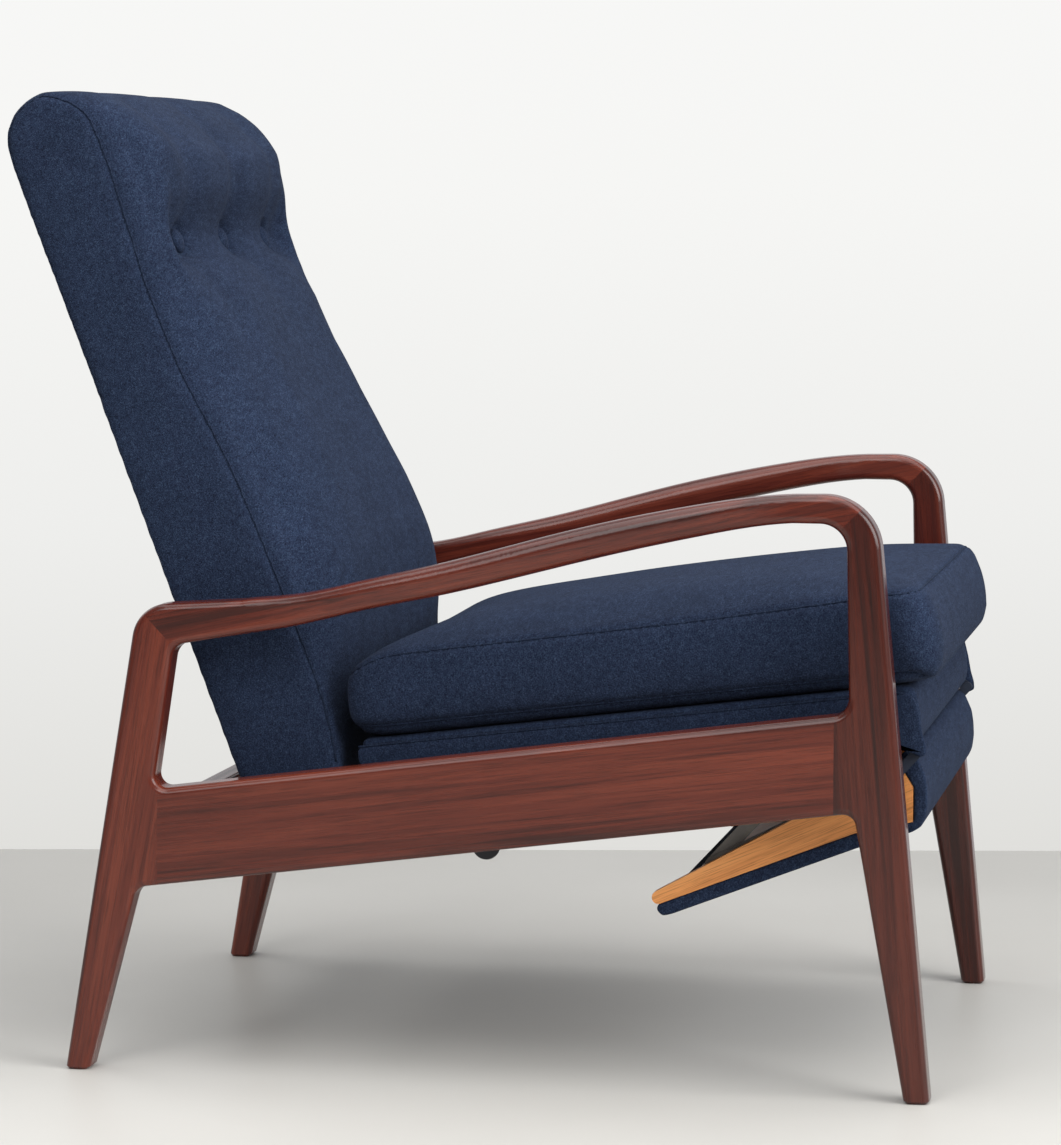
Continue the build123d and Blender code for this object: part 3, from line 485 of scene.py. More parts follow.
def mix_node(tree, share, first, second, blend="MIX"):
    """Mixed colours; share is a number or a value."""
    node = tree.nodes.new("ShaderNodeMix")
    node.data_type = "RGBA"
    node.blend_type = blend
    feed(tree, node.inputs["Factor"], share)
    for name, value in (("A", first), ("B", second)):
        feed(tree, next(s for s in node.inputs if s.name == name and s.type == "RGBA"), value)
    return next(s for s in node.outputs if s.type == "RGBA")


def bump_node(tree, shader, height, strength, distance):
    """Height to the shader's normal; the distance is in metres."""
    node = tree.nodes.new("ShaderNodeBump")
    node.inputs["Strength"].default_value = strength
    node.inputs["Distance"].default_value = distance
    tree.links.new(height, node.inputs["Height"])
    tree.links.new(node.outputs["Normal"], shader.inputs["Normal"])


# Materials
WOOL_DARK = (0.0069, 0.0093, 0.0199)
WOOL_BLUE = (0.0189, 0.0339, 0.0692)
WOOL_PLUM = (0.0229, 0.0309, 0.0636)
WOOL_LIGHT = (0.0579, 0.0891, 0.1463)
WOOL_PLAIN = (0.014, 0.02, 0.045)
# The share below darkens the wool of the seam threads: painted shade of the seams' grooves
SEAM_PAINTED_SHADE = 0.8
JUTE_PLAIN = (0.32, 0.25, 0.16)
JUTE_DARK = (0.16, 0.12, 0.08)
JUTE_LIGHT = (0.42, 0.34, 0.23)
PORE_TINT = (0.50, 0.46, 0.44)

# Tones of each wood: its dark streaks, its body and its light bands
RED_WOOD = ((0.0381, 0.0071, 0.0044), (0.1047, 0.0177, 0.0095), (0.1795, 0.0360, 0.0180))
# Darker copy of the red wood for the front legs: painted shade, the same wood as the rest of the frame
PAINTED_SHADE_RED_WOOD = ((0.0245, 0.0046, 0.0030), (0.0626, 0.0106, 0.0058), (0.1115, 0.0218, 0.0113))
GOLDEN_WOOD = ((0.6250, 0.2375, 0.0688), (0.7920, 0.3300, 0.1020), (0.8288, 0.3808, 0.1344))
INNER_WOOD = ((0.085, 0.040, 0.020), (0.135, 0.066, 0.034), (0.190, 0.100, 0.056))

# Turn of each grain, in degrees, away from the chair's depth
GRAIN_RAIL = (7.56, 0, 0)
GRAIN_REAR_LEG = (80, 0, 0)
GRAIN_FRONT_LEG = (-85, 0, 0)
GRAIN_ARM = (12, 0, 0)
GRAIN_CROSS = (0, 0, 90)
GRAIN_FOOTREST = (24, 0, 0)


def wool_material(name, painted_shade_share=1.0):
    """Navy tweed: fine nubs of dark, blue and paler yarn over a crossed twill, almost without gloss."""
    made, tree, shader = material_base(name, WOOL_PLAIN, roughness=1.0)
    plain = place_node(tree)
    upright = place_node(tree, scale=(1, 1, 1.9))
    crossed = place_node(tree, scale=(0.5, 1, 1), turn=(0.6, 0.2, 0.5))
    drawn = place_node(tree, scale=(0.35, 1, 1))
    nubs = noise_node(tree, plain, frequency=700, detail=3, roughness=0.7, distortion=0.3)
    threads = noise_node(tree, upright, frequency=900, detail=2, roughness=0.6)
    twill = noise_node(tree, crossed, frequency=700, detail=2, roughness=0.5)
    slubs = noise_node(tree, drawn, frequency=190, detail=3, roughness=0.6)
    clouds = noise_node(tree, plain, frequency=22, detail=4, roughness=0.55)
    hues = noise_node(tree, plain, frequency=330, detail=2, roughness=0.5)
    yarn = weighted_sum(tree, (nubs, 0.46), (threads, 0.2), (twill, 0.18), (slubs, 0.16))
    low = ramp_node(tree, yarn, (0.38, BLACK), (0.53, WHITE))
    high = ramp_node(tree, yarn, (0.52, BLACK), (0.70, WHITE))
    # The share darkens every yarn colour for the seam threads: painted shade
    body = mix_node(tree, hues, shaded(WOOL_BLUE, painted_shade_share), shaded(WOOL_PLUM, painted_shade_share))
    body = mix_node(tree, low, shaded(WOOL_DARK, painted_shade_share), body)
    colour = mix_node(tree, high, body, shaded(WOOL_LIGHT, painted_shade_share))
    shade = ramp_node(tree, clouds, (0.3, grey(0.84)), (0.7, WHITE))
    tree.links.new(mix_node(tree, 1.0, colour, shade, "MULTIPLY"), shader.inputs["Base Color"])
    shader.inputs["Sheen Weight"].default_value = 0.012
    shader.inputs["Sheen Roughness"].default_value = 0.6
    shader.inputs["Specular IOR Level"].default_value = 0.05
    bump_node(tree, shader, yarn, strength=0.8, distance=0.0011)
    return made


def wood_material(name, grain, tones, roughness=0.22, coat=0.32):
    """Oiled wood: broad slow bands, long dark streaks and fine pores, all drawn out along the grain."""
    dark, body, light = tones
    turn = [math.radians(angle) for angle in grain]
    made, tree, shader = material_base(name, body, roughness)
    broad = place_node(tree, scale=(26, 1.1, 26), turn=turn)
    long = place_node(tree, scale=(120, 2.4, 120), turn=turn)
    fine = place_node(tree, scale=(900, 22, 900), turn=turn)
    bands = noise_node(tree, broad, frequency=1.0, detail=3, roughness=0.5, distortion=0.5)
    streaks = noise_node(tree, long, frequency=1.0, detail=5, roughness=0.62, distortion=0.8)
    pores = noise_node(tree, fine, frequency=1.0, detail=3, roughness=0.6)
    mixed = weighted_sum(tree, (bands, 0.45), (streaks, 0.55))
    colour = ramp_node(tree, mixed, (0.36, dark), (0.49, body), (0.66, light))
    flecks = ramp_node(tree, pores, (0.36, PORE_TINT), (0.50, WHITE))
    tree.links.new(mix_node(tree, 0.7, colour, flecks, "MULTIPLY"), shader.inputs["Base Color"])
    rough = ramp_node(tree, streaks, (0.3, grey(roughness + 0.12)), (0.7, grey(roughness)))
    tree.links.new(rough, shader.inputs["Roughness"])
    shader.inputs["Coat Weight"].default_value = coat
    shader.inputs["Coat Roughness"].default_value = 0.1
    shader.inputs["Specular IOR Level"].default_value = 0.30
    bump_node(tree, shader, pores, strength=0.08, distance=0.0005)
    return made


def steel_material(name, colour, roughness, metallic):
    """Steel with a faintly uneven tone."""
    made, tree, shader = material_base(name, colour, roughness, metallic)
    wear = noise_node(tree, place_node(tree), frequency=45, detail=5, roughness=0.6)
    tone = ramp_node(tree, wear, (0.35, shaded(colour, 0.7)), (0.65, colour))
    tree.links.new(tone, shader.inputs["Base Color"])
    return made


def webbing_material(name):
    """Jute strap: two crossed waves of yarn."""
    made, tree, shader = material_base(name, JUTE_PLAIN, roughness=0.9)
    vector = place_node(tree)
    waves = []
    for direction in ("X", "Y"):
        wave = tree.nodes.new("ShaderNodeTexWave")
        wave.bands_direction = direction
        wave.inputs["Scale"].default_value = 110
        wave.inputs["Distortion"].default_value = 1.0
        tree.links.new(vector, wave.inputs["Vector"])
        waves.append(wave.outputs["Fac"])
    weave = math_node(tree, "MULTIPLY", *waves)
    colour = ramp_node(tree, weave, (0.1, JUTE_DARK), (0.6, JUTE_LIGHT))
    tree.links.new(colour, shader.inputs["Base Color"])
    bump_node(tree, shader, weave, strength=0.6, distance=0.001)
    return made


wool = wool_material("navy_wool")
wool_seam_painted_shade = wool_material("navy_wool_seam", SEAM_PAINTED_SHADE)
wood_rail = wood_material("red_wood_rail", GRAIN_RAIL, RED_WOOD)
wood_rear_leg = wood_material("red_wood_rear_leg", GRAIN_REAR_LEG, RED_WOOD)
# The front legs take the darker copy of the red wood as painted shade
wood_front_leg_painted_shade = wood_material("red_wood_front_leg", GRAIN_FRONT_LEG, PAINTED_SHADE_RED_WOOD)
wood_arm = wood_material("red_wood_arm", GRAIN_ARM, RED_WOOD)
wood_cross = wood_material("red_wood_cross", GRAIN_CROSS, RED_WOOD)
wood_footrest = wood_material("golden_wood", GRAIN_FOOTREST, GOLDEN_WOOD, roughness=0.4, coat=0.05)
inner_long = wood_material("inner_wood_long", GRAIN_RAIL, INNER_WOOD, roughness=0.6, coat=0.0)
inner_cross = wood_material("inner_wood_cross", GRAIN_CROSS, INNER_WOOD, roughness=0.6, coat=0.0)
steel_dark = steel_material("dark_steel", (0.045, 0.045, 0.05), roughness=0.42, metallic=0.8)
steel_painted = steel_material("painted_steel", (0.018, 0.026, 0.048), roughness=0.75, metallic=0.0)
steel_grey = steel_material("grey_steel", (0.17, 0.16, 0.15), roughness=0.4, metallic=0.7)
steel_bright = steel_material("bright_steel", (0.55, 0.55, 0.56), roughness=0.3, metallic=1.0)
jute = webbing_material("jute")

# What each piece of the part is made of, by the start of its name; all the others are dark steel
NODE_MATERIALS = (
    ("armrest", wood_arm),
    ("rear_leg", wood_rear_leg),
    ("front_leg", wood_front_leg_painted_shade),
    ("side_rail", wood_rail),
    ("rear_cross_rail", wood_cross),
    ("middle_cross_rail", wood_cross),
    ("seat_side_rail", inner_long),
    ("seat_rear_rail", inner_cross),
    ("seat_front_rail", inner_cross),
    ("back_stile", inner_long),
    ("back_lower_rail", inner_cross),
    ("back_middle_rail", inner_cross),
    ("back_top_rail", inner_cross),
    ("footrest_cheek", wood_footrest),
    ("footrest_board", wood_footrest),
    ("footrest_front_block", wood_footrest),
    ("seat_webbing", jute),
    ("back_webbing", jute),
    ("bracket_screws", steel_bright),
    ("channel_screws", steel_bright),
    ("back_buttons", wool),
    ("footrest_arm", steel_painted),
    ("footrest_hinge", steel_painted),
    ("stay_", steel_grey),
    ("", steel_dark),
)

for node_name, node in NODES.items():
    finish = next(material for start, material in NODE_MATERIALS if node_name.startswith(start))
    node.data.materials.clear()
    node.data.materials.append(finish)


# Seat cushion, in the seat's frame
CUSHION_REAR = -7.0
CUSHION_FRONT = 575.0
CUSHION_MIDDLE = (CUSHION_REAR + CUSHION_FRONT) / 2
CUSHION_HALF = 279.0
CUSHION_CORNER = 29.0
CUSHION_POINTS = 240
CUSHION_WAIST_SHARE = 0.012
CUSHION_UNDERSIDE = 0.6
CUSHION_UNDER_EDGE = 4.5
CUSHION_LOW_SEAM = 12.0
CUSHION_VOXEL = 6.8 * MM
CUSHION_SWELL = 6.0 * MM
LOW_SEAM_SHARE = 0.99

# Height of the upper seam and of the crest, from the rear to the front
SEAM_ALONG = (-7.0, 15.0, 50.0, 330.0, 480.0, 575.0)
SEAM_UP = (66.0, 78.0, 84.5, 86.0, 90.0, 94.0)
CREST_ALONG = (-7.0, 22.0, 69.0, 206.0, 387.0, 478.0, 547.0, 575.0)
CREST_UP = (72.0, 92.0, 101.0, 107.0, 112.0, 111.0, 106.0, 100.0)
CREST_POWER = 5

# How far the boxing bulges, and how the front hangs over the deck's front edge
SIDE_BULGE = 6.0
FRONT_BULGE = 14.0
REAR_BULGE = 2.0
DECK_FRONT = 561.0
HANG_REACH = 14.0
DROOP = 13.0

# Bands of the cushion that the cloth step holds: the rim near the seams, the underside, the rear end
HELD_RIM = 14.0
HELD_FRONT = 8.0
HELD_REAR_RIM = 10.0
HELD_SEAM = 6.0
HELD_UNDER = 13.0
HELD_REAR = 6.0


def seam_up(along):
    """Height of the upper seam along the cushion."""
    return smooth_curve(SEAM_ALONG, SEAM_UP, along)


def cushion_ring(plan, inward, up, bulge=0.0, low=0.0):
    """Ring of the cushion: plan drawn to the middle by a share, pushed out by bulge, at a height; in
    front of the deck the low rings hang down by low * DROOP * (3 t^2 - 2 t^3)."""
    normals = outward(plan)
    middle = np.array([0.0, CUSHION_MIDDLE])
    forward = np.clip(normals[:, 1], 0, 1)
    rearward = np.clip(-normals[:, 1], 0, 1)
    amount = bulge * (SIDE_BULGE * np.abs(normals[:, 0]) + FRONT_BULGE * forward + REAR_BULGE * rearward)
    ring = middle + (plan - middle) * inward + normals * amount[:, None]
    reach = np.clip((ring[:, 1] - DECK_FRONT) / HANG_REACH, 0, 1)
    hang = low * DROOP * reach * reach * (3 - 2 * reach)
    return seat_point(ring[:, 0], ring[:, 1], up - hang)


def cushion_plan():
    """Rounded plan whose sides are drawn in by a small share of cos(pi * (along / front - 1/2))."""
    plan = rounded_plan(CUSHION_REAR, CUSHION_FRONT, CUSHION_HALF, CUSHION_CORNER, CUSHION_POINTS)
    from_middle = np.clip(plan[:, 1] / CUSHION_FRONT - 0.5, -0.5, 0.5)
    plan[:, 0] *= 1 - CUSHION_WAIST_SHARE * np.cos(from_middle * math.pi)
    return plan


def cushion_rings(plan):
    """Flat under, boxing bulged by sin(pi * s^0.8)^0.7 between two seams, and a crowned top of height
    seam + (crest - seam) * (1 - q^5), where q is the share of the way out from the middle."""
    rings = [cushion_ring(plan, share, CUSHION_UNDERSIDE, low=1.0) for share in np.linspace(0.04, 0.94, 20)]
    rings.append(cushion_ring(plan, 0.97, CUSHION_UNDER_EDGE, low=1.0))
    rings.append(cushion_ring(plan, LOW_SEAM_SHARE, CUSHION_LOW_SEAM, low=1.0))
    top = seam_up(plan[:, 1])
    for share in np.linspace(0, 1, 15)[1:-1]:
        up = CUSHION_LOW_SEAM + (top - CUSHION_LOW_SEAM) * share
        bulge = math.sin(math.pi * share ** 0.8) ** 0.7
        rings.append(cushion_ring(plan, 1.0, up, bulge, low=1 - share))
    for share in np.linspace(1.0, 0.03, 34):
        along = CUSHION_MIDDLE * (1 - share) + plan[:, 1] * share
        crest = smooth_curve(CREST_ALONG, CREST_UP, along)
        up = seam_up(along) + (crest - seam_up(along)) * (1 - share ** CREST_POWER)
        rings.append(cushion_ring(plan, share, up))
    return rings


def seat_cushion():
    """Loose boxed cushion, swollen by the cloth step, with a seam above and below its boxing."""
    plan = cushion_plan()
    pad = closed_stack("seat_cushion_cover", cushion_rings(plan))
    remesh(pad, CUSHION_VOXEL)
    x, along, up = seat_place(vertex_values(pad.data, "co"))
    rim = np.abs(x) > CUSHION_HALF - HELD_RIM
    rim |= (along > CUSHION_FRONT - HELD_FRONT) | (along < HELD_REAR_RIM)
    held = rim & (np.abs(up - seam_up(along)) < HELD_SEAM)
    held |= (up < HELD_UNDER) | (along < HELD_REAR)
    inflate(pad, held, CUSHION_SWELL)
    relax(pad, 2)
    subdivide(pad)
    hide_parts("seat_cushion")
    upholster(pad, wool, "seat")
    top = seat_point(plan[:, 0], plan[:, 1], seam_up(plan[:, 1]))
    seam("seat_cushion_top_seam", pad, top, "seat")
    low = cushion_ring(plan, LOW_SEAM_SHARE, CUSHION_LOW_SEAM, low=1.0)
    seam("seat_cushion_low_seam", pad, low, "seat")


# Back, in its own frame: how far out its rear, its sides and its front stand at places along it
BACK_HALF = 273.0
REAR_ALONG = (0.0, 4.0, 60.0, 180.0, 300.0, 420.0, 540.0, 640.0, 700.0, 716.0, 730.0, 742.0, 750.0, 755.0)
REAR_OUT = (6.0, 1.0, 0.0, -0.5, -1.0, -1.0, -1.5, -2.5, -2.5, -1.0, 4.0, 13.0, 24.0, 40.0)
SIDE_ALONG = (0.0, 35.0, 90.0, 205.0, 327.0, 465.0, 537.0, 577.0, 621.0, 665.0, 690.0, 714.0, 735.0,
              750.0, 756.5)
SIDE_OUT = (100.0, 107.0, 113.0, 111.0, 106.0, 90.0, 88.0, 90.0, 92.0, 94.0, 94.0, 92.0, 81.0, 64.0, 52.0)
FRONT_ALONG = (0.0, 35.0, 90.0, 120.0, 150.0, 205.0, 270.0, 327.0, 400.0, 465.0, 527.0, 577.0, 621.0,
               654.0, 690.0, 716.0, 735.0, 750.0, 756.5)
FRONT_OUT = (100.0, 109.0, 123.0, 136.0, 151.0, 165.0, 165.0, 161.0, 153.0, 146.0, 141.0, 138.0, 148.0,
             150.0, 141.0, 125.0, 105.0, 75.0, 54.0)
CROWN_ALONG = (0.0, 200.0, 330.0, 420.0, 520.0, 577.0, 757.0)
CROWN_POWER = (11.0, 11.0, 7.5, 7.5, 10.0, 15.0, 12.0)

# Places of the loop's points, closer together over the top
LOOP_REAR = np.concatenate([np.linspace(0, 690, 70), np.linspace(700, 755, 16)])
LOOP_FRONT = np.concatenate([np.linspace(756.5, 720, 14), np.linspace(715, 0, 110)])

# Side panels: how far they puff out, and the middle line that their loops are drawn to
PUFF = 3.0
PUFF_POWER = 4
MIDDLE_LOW = 60.0
MIDDLE_HIGH = 690.0
MIDDLE_OUT = (56.0, 48.0)
MIDDLE_OUT_ALONG = (0.0, 700.0)

# Band near each side where the loops lie closer, and the step from it to the even ones
SIDE_BAND = 24.0
BAND_STEP = 5.0
BACK_VOXEL = 7.6 * MM
BACK_SWELL = 5.0 * MM

# Parts of the back that the cloth step holds: rear, sides, foot and top
BACK_HELD_REAR = 60.0
BACK_HELD_SIDE = 7.0
BACK_HELD_FOOT = 60.0
BACK_HELD_TOP = 735.0
SIDE_SEAM_POINTS = slice(45, -4)

# Folds and valley of the button row
FOLD_ALONG = (400.0, 460.0, 510.0, 545.0, 577.0, 608.0, 640.0, 680.0, 720.0, 745.0, 757.0)
FOLD_DEPTH = (0.0, 1.0, 4.0, 8.0, 10.0, 10.0, 8.5, 6.5, 5.0, 3.0, 1.0)
FOLD_WIDTH = (60.0, 52.0, 46.0, 42.0, 40.0, 36.0, 32.0, 30.0, 30.0, 30.0, 30.0)
VALLEY_ALONG = (500.0, 535.0, 560.0, 577.0, 594.0, 622.0, 660.0)
VALLEY_DEPTH = (0.0, 5.0, 18.0, 22.0, 18.0, 6.0, 0.0)
DIMPLE_DEPTH = 3.0
DIMPLE_RADIUS = 26.0
SHOULDER = 233.0
SHOULDER_WIDTH = 5.0
PRESS_FROM = 62.0
PRESS_BLEND = 20.0

# Covered buttons
BUTTONS = (("right", -173.0), ("middle", 0.0), ("left", 173.0))
BUTTON_ROW = 577.0
BUTTON_RADIUS = 13.5
BUTTON_OUT = 105.5
BUTTON_DOME = 7.0
BUTTON_FOOT = 8.0
BUTTON_NEAR = 6.0
BUTTON_SIDES = 64
CREASE_GAP = 1.5
CREASE_RISE = 4.0
CREASE_DEPTH = 5.0 * MM
CREASE_WIDTH = 4.5 * MM


def back_loop(x):
    """Closed outline of the back at a place across it, up the rear and down the front; the front stands
    at side + (middle - side) * (1 - |x / half|^p), with p tabled along it."""
    crown = 1 - np.abs(x / BACK_HALF) ** smooth_curve(CROWN_ALONG, CROWN_POWER, LOOP_FRONT)
    side = smooth_curve(SIDE_ALONG, SIDE_OUT, LOOP_FRONT)
    middle = smooth_curve(FRONT_ALONG, FRONT_OUT, LOOP_FRONT)
    rear = smooth_curve(REAR_ALONG, REAR_OUT, LOOP_REAR)
    along = np.concatenate([LOOP_REAR, LOOP_FRONT])
    return along, np.concatenate([rear, side + (middle - side) * crown])


def side_panel(side):
    """Loops of one side panel, drawn by a share towards its middle line and puffed by 1 - share^4."""
    along, out = back_loop(side * BACK_HALF)
    middle_along = np.clip(along, MIDDLE_LOW, MIDDLE_HIGH)
    middle_out = np.interp(middle_along, MIDDLE_OUT_ALONG, MIDDLE_OUT)
    rings = []
    for share in np.linspace(0.06, 0.94, 12):
        x = side * (BACK_HALF + PUFF * (1 - share ** PUFF_POWER))
        rings.append(back_point(
            x, middle_along + (along - middle_along) * share, middle_out + (out - middle_out) * share))
    return rings


def pressing(x, along):
    """Depth pressed into the front: folds up and down from the buttons, bells across and fading along,
    a round hollow under each button and the valley of the row, with a logistic step at the shoulders."""
    width = smooth_curve(FOLD_ALONG, FOLD_WIDTH, along)
    folds = sum(np.exp(-((x - place) / width) ** 2) for _, place in BUTTONS)
    rises = (along - BUTTON_ROW) ** 2
    hollows = sum(np.exp(-((x - place) ** 2 + rises) / DIMPLE_RADIUS ** 2) for _, place in BUTTONS)
    valley = smooth_curve(VALLEY_ALONG, VALLEY_DEPTH, along)
    depth = smooth_curve(FOLD_ALONG, FOLD_DEPTH, along) * folds + DIMPLE_DEPTH * hollows + valley
    return depth / (1 + np.exp((np.abs(x) - SHOULDER) / SHOULDER_WIDTH))


def quilt(pad):
    """Presses the folds into the swollen front so that it meets the foot of the buttons at BUTTON_OUT."""
    points = vertex_values(pad.data, "co")
    x, along, out = back_place(points)
    front = np.clip((out - PRESS_FROM) / PRESS_BLEND, 0, 1)
    near = (np.abs(x) < BUTTON_NEAR) & (np.abs(along - BUTTON_ROW) < BUTTON_NEAR) & (out > PRESS_FROM)
    depth = pressing(x, along)
    share = (out[near].mean() - BUTTON_OUT) / depth[near].mean()
    inward = np.array([0, math.cos(BACK_LEAN), -math.sin(BACK_LEAN)]) * MM
    set_places(pad, points + (depth * share * front)[:, None] * inward)


def cover_button(pad, name, place):
    """Covered button: a dome, radius * cos and height * sin, in a crease pressed into the back."""
    turn = np.linspace(0, 2 * math.pi, BUTTON_SIDES, endpoint=False)

    def circle(radius, out):
        """Circle round the button's middle."""
        return back_point(place + radius * np.cos(turn), BUTTON_ROW + radius * np.sin(turn), out)

    crease, _ = surface_path(pad, circle(BUTTON_RADIUS + CREASE_GAP, BUTTON_OUT + CREASE_RISE))
    groove(pad, crease, CREASE_DEPTH, CREASE_WIDTH)
    rings = [circle(BUTTON_RADIUS, BUTTON_OUT - BUTTON_FOOT), circle(BUTTON_RADIUS, BUTTON_OUT)]
    for rise in np.linspace(0.12, 1.5, 12):
        rings.append(circle(BUTTON_RADIUS * math.cos(rise), BUTTON_OUT + math.sin(rise) * BUTTON_DOME))
    button = closed_stack("button_cover_" + name, rings)
    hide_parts("back_buttons")
    upholster(button, wool, "back")


def back_cushion():
    """Padded back: loops across X between its two side panels, swollen by the cloth step, then quilted."""
    inner = BACK_HALF - SIDE_BAND
    even = inner - BAND_STEP
    places = np.concatenate([
        np.linspace(-BACK_HALF, -inner, 6), np.linspace(-even, even, 98), np.linspace(inner, BACK_HALF, 6)])
    loops = [back_point(x, *back_loop(x)) for x in places]
    pad = closed_stack("back_cover", side_panel(-1) + loops + side_panel(1)[::-1])
    remesh(pad, BACK_VOXEL)
    x, along, out = back_place(vertex_values(pad.data, "co"))
    held = (out < BACK_HELD_REAR) | (np.abs(x) > BACK_HALF - BACK_HELD_SIDE)
    held |= (along < BACK_HELD_FOOT) | (along > BACK_HELD_TOP)
    inflate(pad, held, BACK_SWELL)
    relax(pad, 1)
    subdivide(pad)
    quilt(pad)
    for name, place in BUTTONS:
        cover_button(pad, name, place)
    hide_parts("back_upholstery")
    upholster(pad, wool, "back")
    for side, name in ((-1, "right"), (1, "left")):
        edge = back_point(side * BACK_HALF, *back_loop(side * BACK_HALF))
        seam("back_side_seam_" + name, pad, edge[SIDE_SEAM_POINTS], "back", closed=False)


# Rear panel of the back; its layers are (inset, out)
PANEL_HALF = 242.0
PANEL_LOW = 20.0
PANEL_HIGH = 668.0
PANEL_CORNER = 14.0
PANEL_LAYERS = ((40.0, -1.6), (14.0, -1.4), (4.0, -1.0), (0.6, -0.2), (0.0, 0.8), (0.0, 3.0))
PANEL_THREAD = 1.3 * MM


def panel_ring(inset, out, count):
    """Rounded rectangle of the rear panel, drawn in by the inset."""
    plan = rounded_plan(PANEL_LOW + inset, PANEL_HIGH - inset, PANEL_HALF - inset, PANEL_CORNER, count)
    return back_point(plan[:, 0], plan[:, 1], out)


def back_panel():
    """Flat lined panel over the rear opening, with softly rounded edges and a thread line round it."""
    panel = closed_stack("back_panel_cover", [panel_ring(inset, out, 120) for inset, out in PANEL_LAYERS])
    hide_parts("back_rear_panel")
    upholster(panel, wool, "back")
    line = tube("back_panel_seam", panel_ring(0.0, 0.0, 240), PANEL_THREAD, closed=True)
    upholster(line, wool_seam_painted_shade, "back")


# Deck under the cushion, as side outlines (along, up); the layers of its side pieces are (x, inset)
DECK_OUTLINE = (
    (556.0, -4.0), (558.5, -14.0), (559.5, -30.0), (558.5, -46.0), (554.0, -58.0), (546.0, -63.5),
    (536.0, -63.5), (533.0, -54.0), (533.5, -14.0), (530.0, -12.0), (300.0, -12.0), (4.0, -12.0),
    (1.0, -8.0), (1.0, -2.0), (6.0, 0.0), (300.0, 0.0), (540.0, 0.0), (551.0, -1.0))
DECK_HALF = 266.3
DECK_EDGE = 7.0
SKIRT_OUTLINE = (
    (-1.6, -25.4), (-1.6, -7.0), (540.0, -6.0), (550.0, -8.0), (555.0, -13.0), (556.0, -25.4),
    (548.0, -25.4), (300.0, -25.4))
SKIRT_LAYERS = ((270.4, 0.6), (271.0, 0.1), (272.4, 0.0), (273.0, 0.5), (273.2, 1.4))
GUSSET_OUTLINE = (
    (470.0, -24.0), (540.0, -9.0), (551.0, -8.0), (557.5, -14.0), (559.5, -30.0), (560.5, -48.0),
    (562.5, -60.0), (562.0, -68.0), (556.0, -70.5), (549.0, -66.0), (530.0, -56.0), (480.0, -52.0))
GUSSET_LAYERS = ((273.3, 0.0), (274.8, 0.0), (275.5, 0.6), (275.8, 1.6), (275.9, 3.0))
DECK_SEAM_X = 272.6
DECK_SEAM_FRONT = 545.0
DECK_SEAM_UP = -6.4
DECK_SEAM_POINTS = 200
DECK_THREAD = 1.2 * MM


def deck_side_piece(name, side, outline, count, rounds, layers):
    """Strip or gusset on the outer face of the deck."""
    loop = rounded_loop(outline, count, rounds)
    piece = layered(name, loop, [(side * x, inset) for x, inset in layers], seat_point)
    upholster(piece, wool, "seat")


def seat_deck():
    """Deck cover with its roll over the front rail, and on each side a strip, a gusset over the end of
    the roll and a thread line."""
    loop = rounded_loop(DECK_OUTLINE, count=420, rounds=3)
    deck = bolster("seat_deck_cover", loop, DECK_HALF, DECK_EDGE, seat_point)
    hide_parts("seat_deck")
    upholster(deck, wool, "seat")
    for side, name in ((-1, "right"), (1, "left")):
        deck_side_piece("seat_deck_side_" + name, side, SKIRT_OUTLINE, 300, 2, SKIRT_LAYERS)
        deck_side_piece("seat_deck_gusset_" + name, side, GUSSET_OUTLINE, 240, 3, GUSSET_LAYERS)
        along = np.linspace(0, DECK_SEAM_FRONT, DECK_SEAM_POINTS)
        path = seat_point(side * DECK_SEAM_X, along, DECK_SEAM_UP)
        line = tube("seat_deck_seam_" + name, path, DECK_THREAD)
        upholster(line, wool_seam_painted_shade, "seat")


# Footrest's pad, as a side outline (depth, height) of the folded footrest
PAD_OUTLINE = (
    (-156.0, 175.5), (-154.0, 170.0), (-160.0, 163.5), (-170.0, 166.0), (-354.0, 237.7), (-395.0, 250.5),
    (-407.0, 255.0), (-415.5, 260.5), (-419.5, 270.0), (-421.2, 284.0), (-420.5, 298.0), (-418.5, 311.0),
    (-411.0, 328.0), (-405.0, 332.6), (-398.0, 333.4), (-392.0, 327.0), (-392.6, 321.0), (-394.4, 319.6),
    (-407.4, 298.9), (-407.4, 265.4), (-350.0, 251.6), (-250.0, 212.2))
PAD_HALF = 266.6
PAD_EDGE = 3.0


def footrest_cover():
    """Pad under the footrest and the roll round its front end."""
    loop = rounded_loop(PAD_OUTLINE, count=460, rounds=4)
    pad = bolster("footrest_cover", loop, PAD_HALF, PAD_EDGE, chair_point)
    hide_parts("footrest_pad")
    upholster(pad, wool, "footrest")


seat_cushion()
back_cushion()
back_panel()
seat_deck()
footrest_cover()

# Stage, camera and light
# Camera of the photograph: place in metres, angles, and focal length in pixels of its height
CAMERA_PLACE = (-4.314, -0.8386, 0.874)
CAMERA_YAW = math.radians(10.86)
CAMERA_PITCH = math.radians(5.16)
CAMERA_ROLL = math.radians(0.10)
CAMERA_FOCAL_PIXELS = 4198.0
CAMERA_REACH = 50.0
IMAGE_HEIGHT = 1145.0
SENSOR = 36.0

# Floor: its far edge and half size in metres, and its two tones
FLOOR_FAR = 1.16
FLOOR_HALF = 6.0
FLOOR_PLAIN = (0.54, 0.53, 0.50)
FLOOR_DARK = (0.5214, 0.5081, 0.4761)
FLOOR_LIGHT = (0.5653, 0.5520, 0.5200)

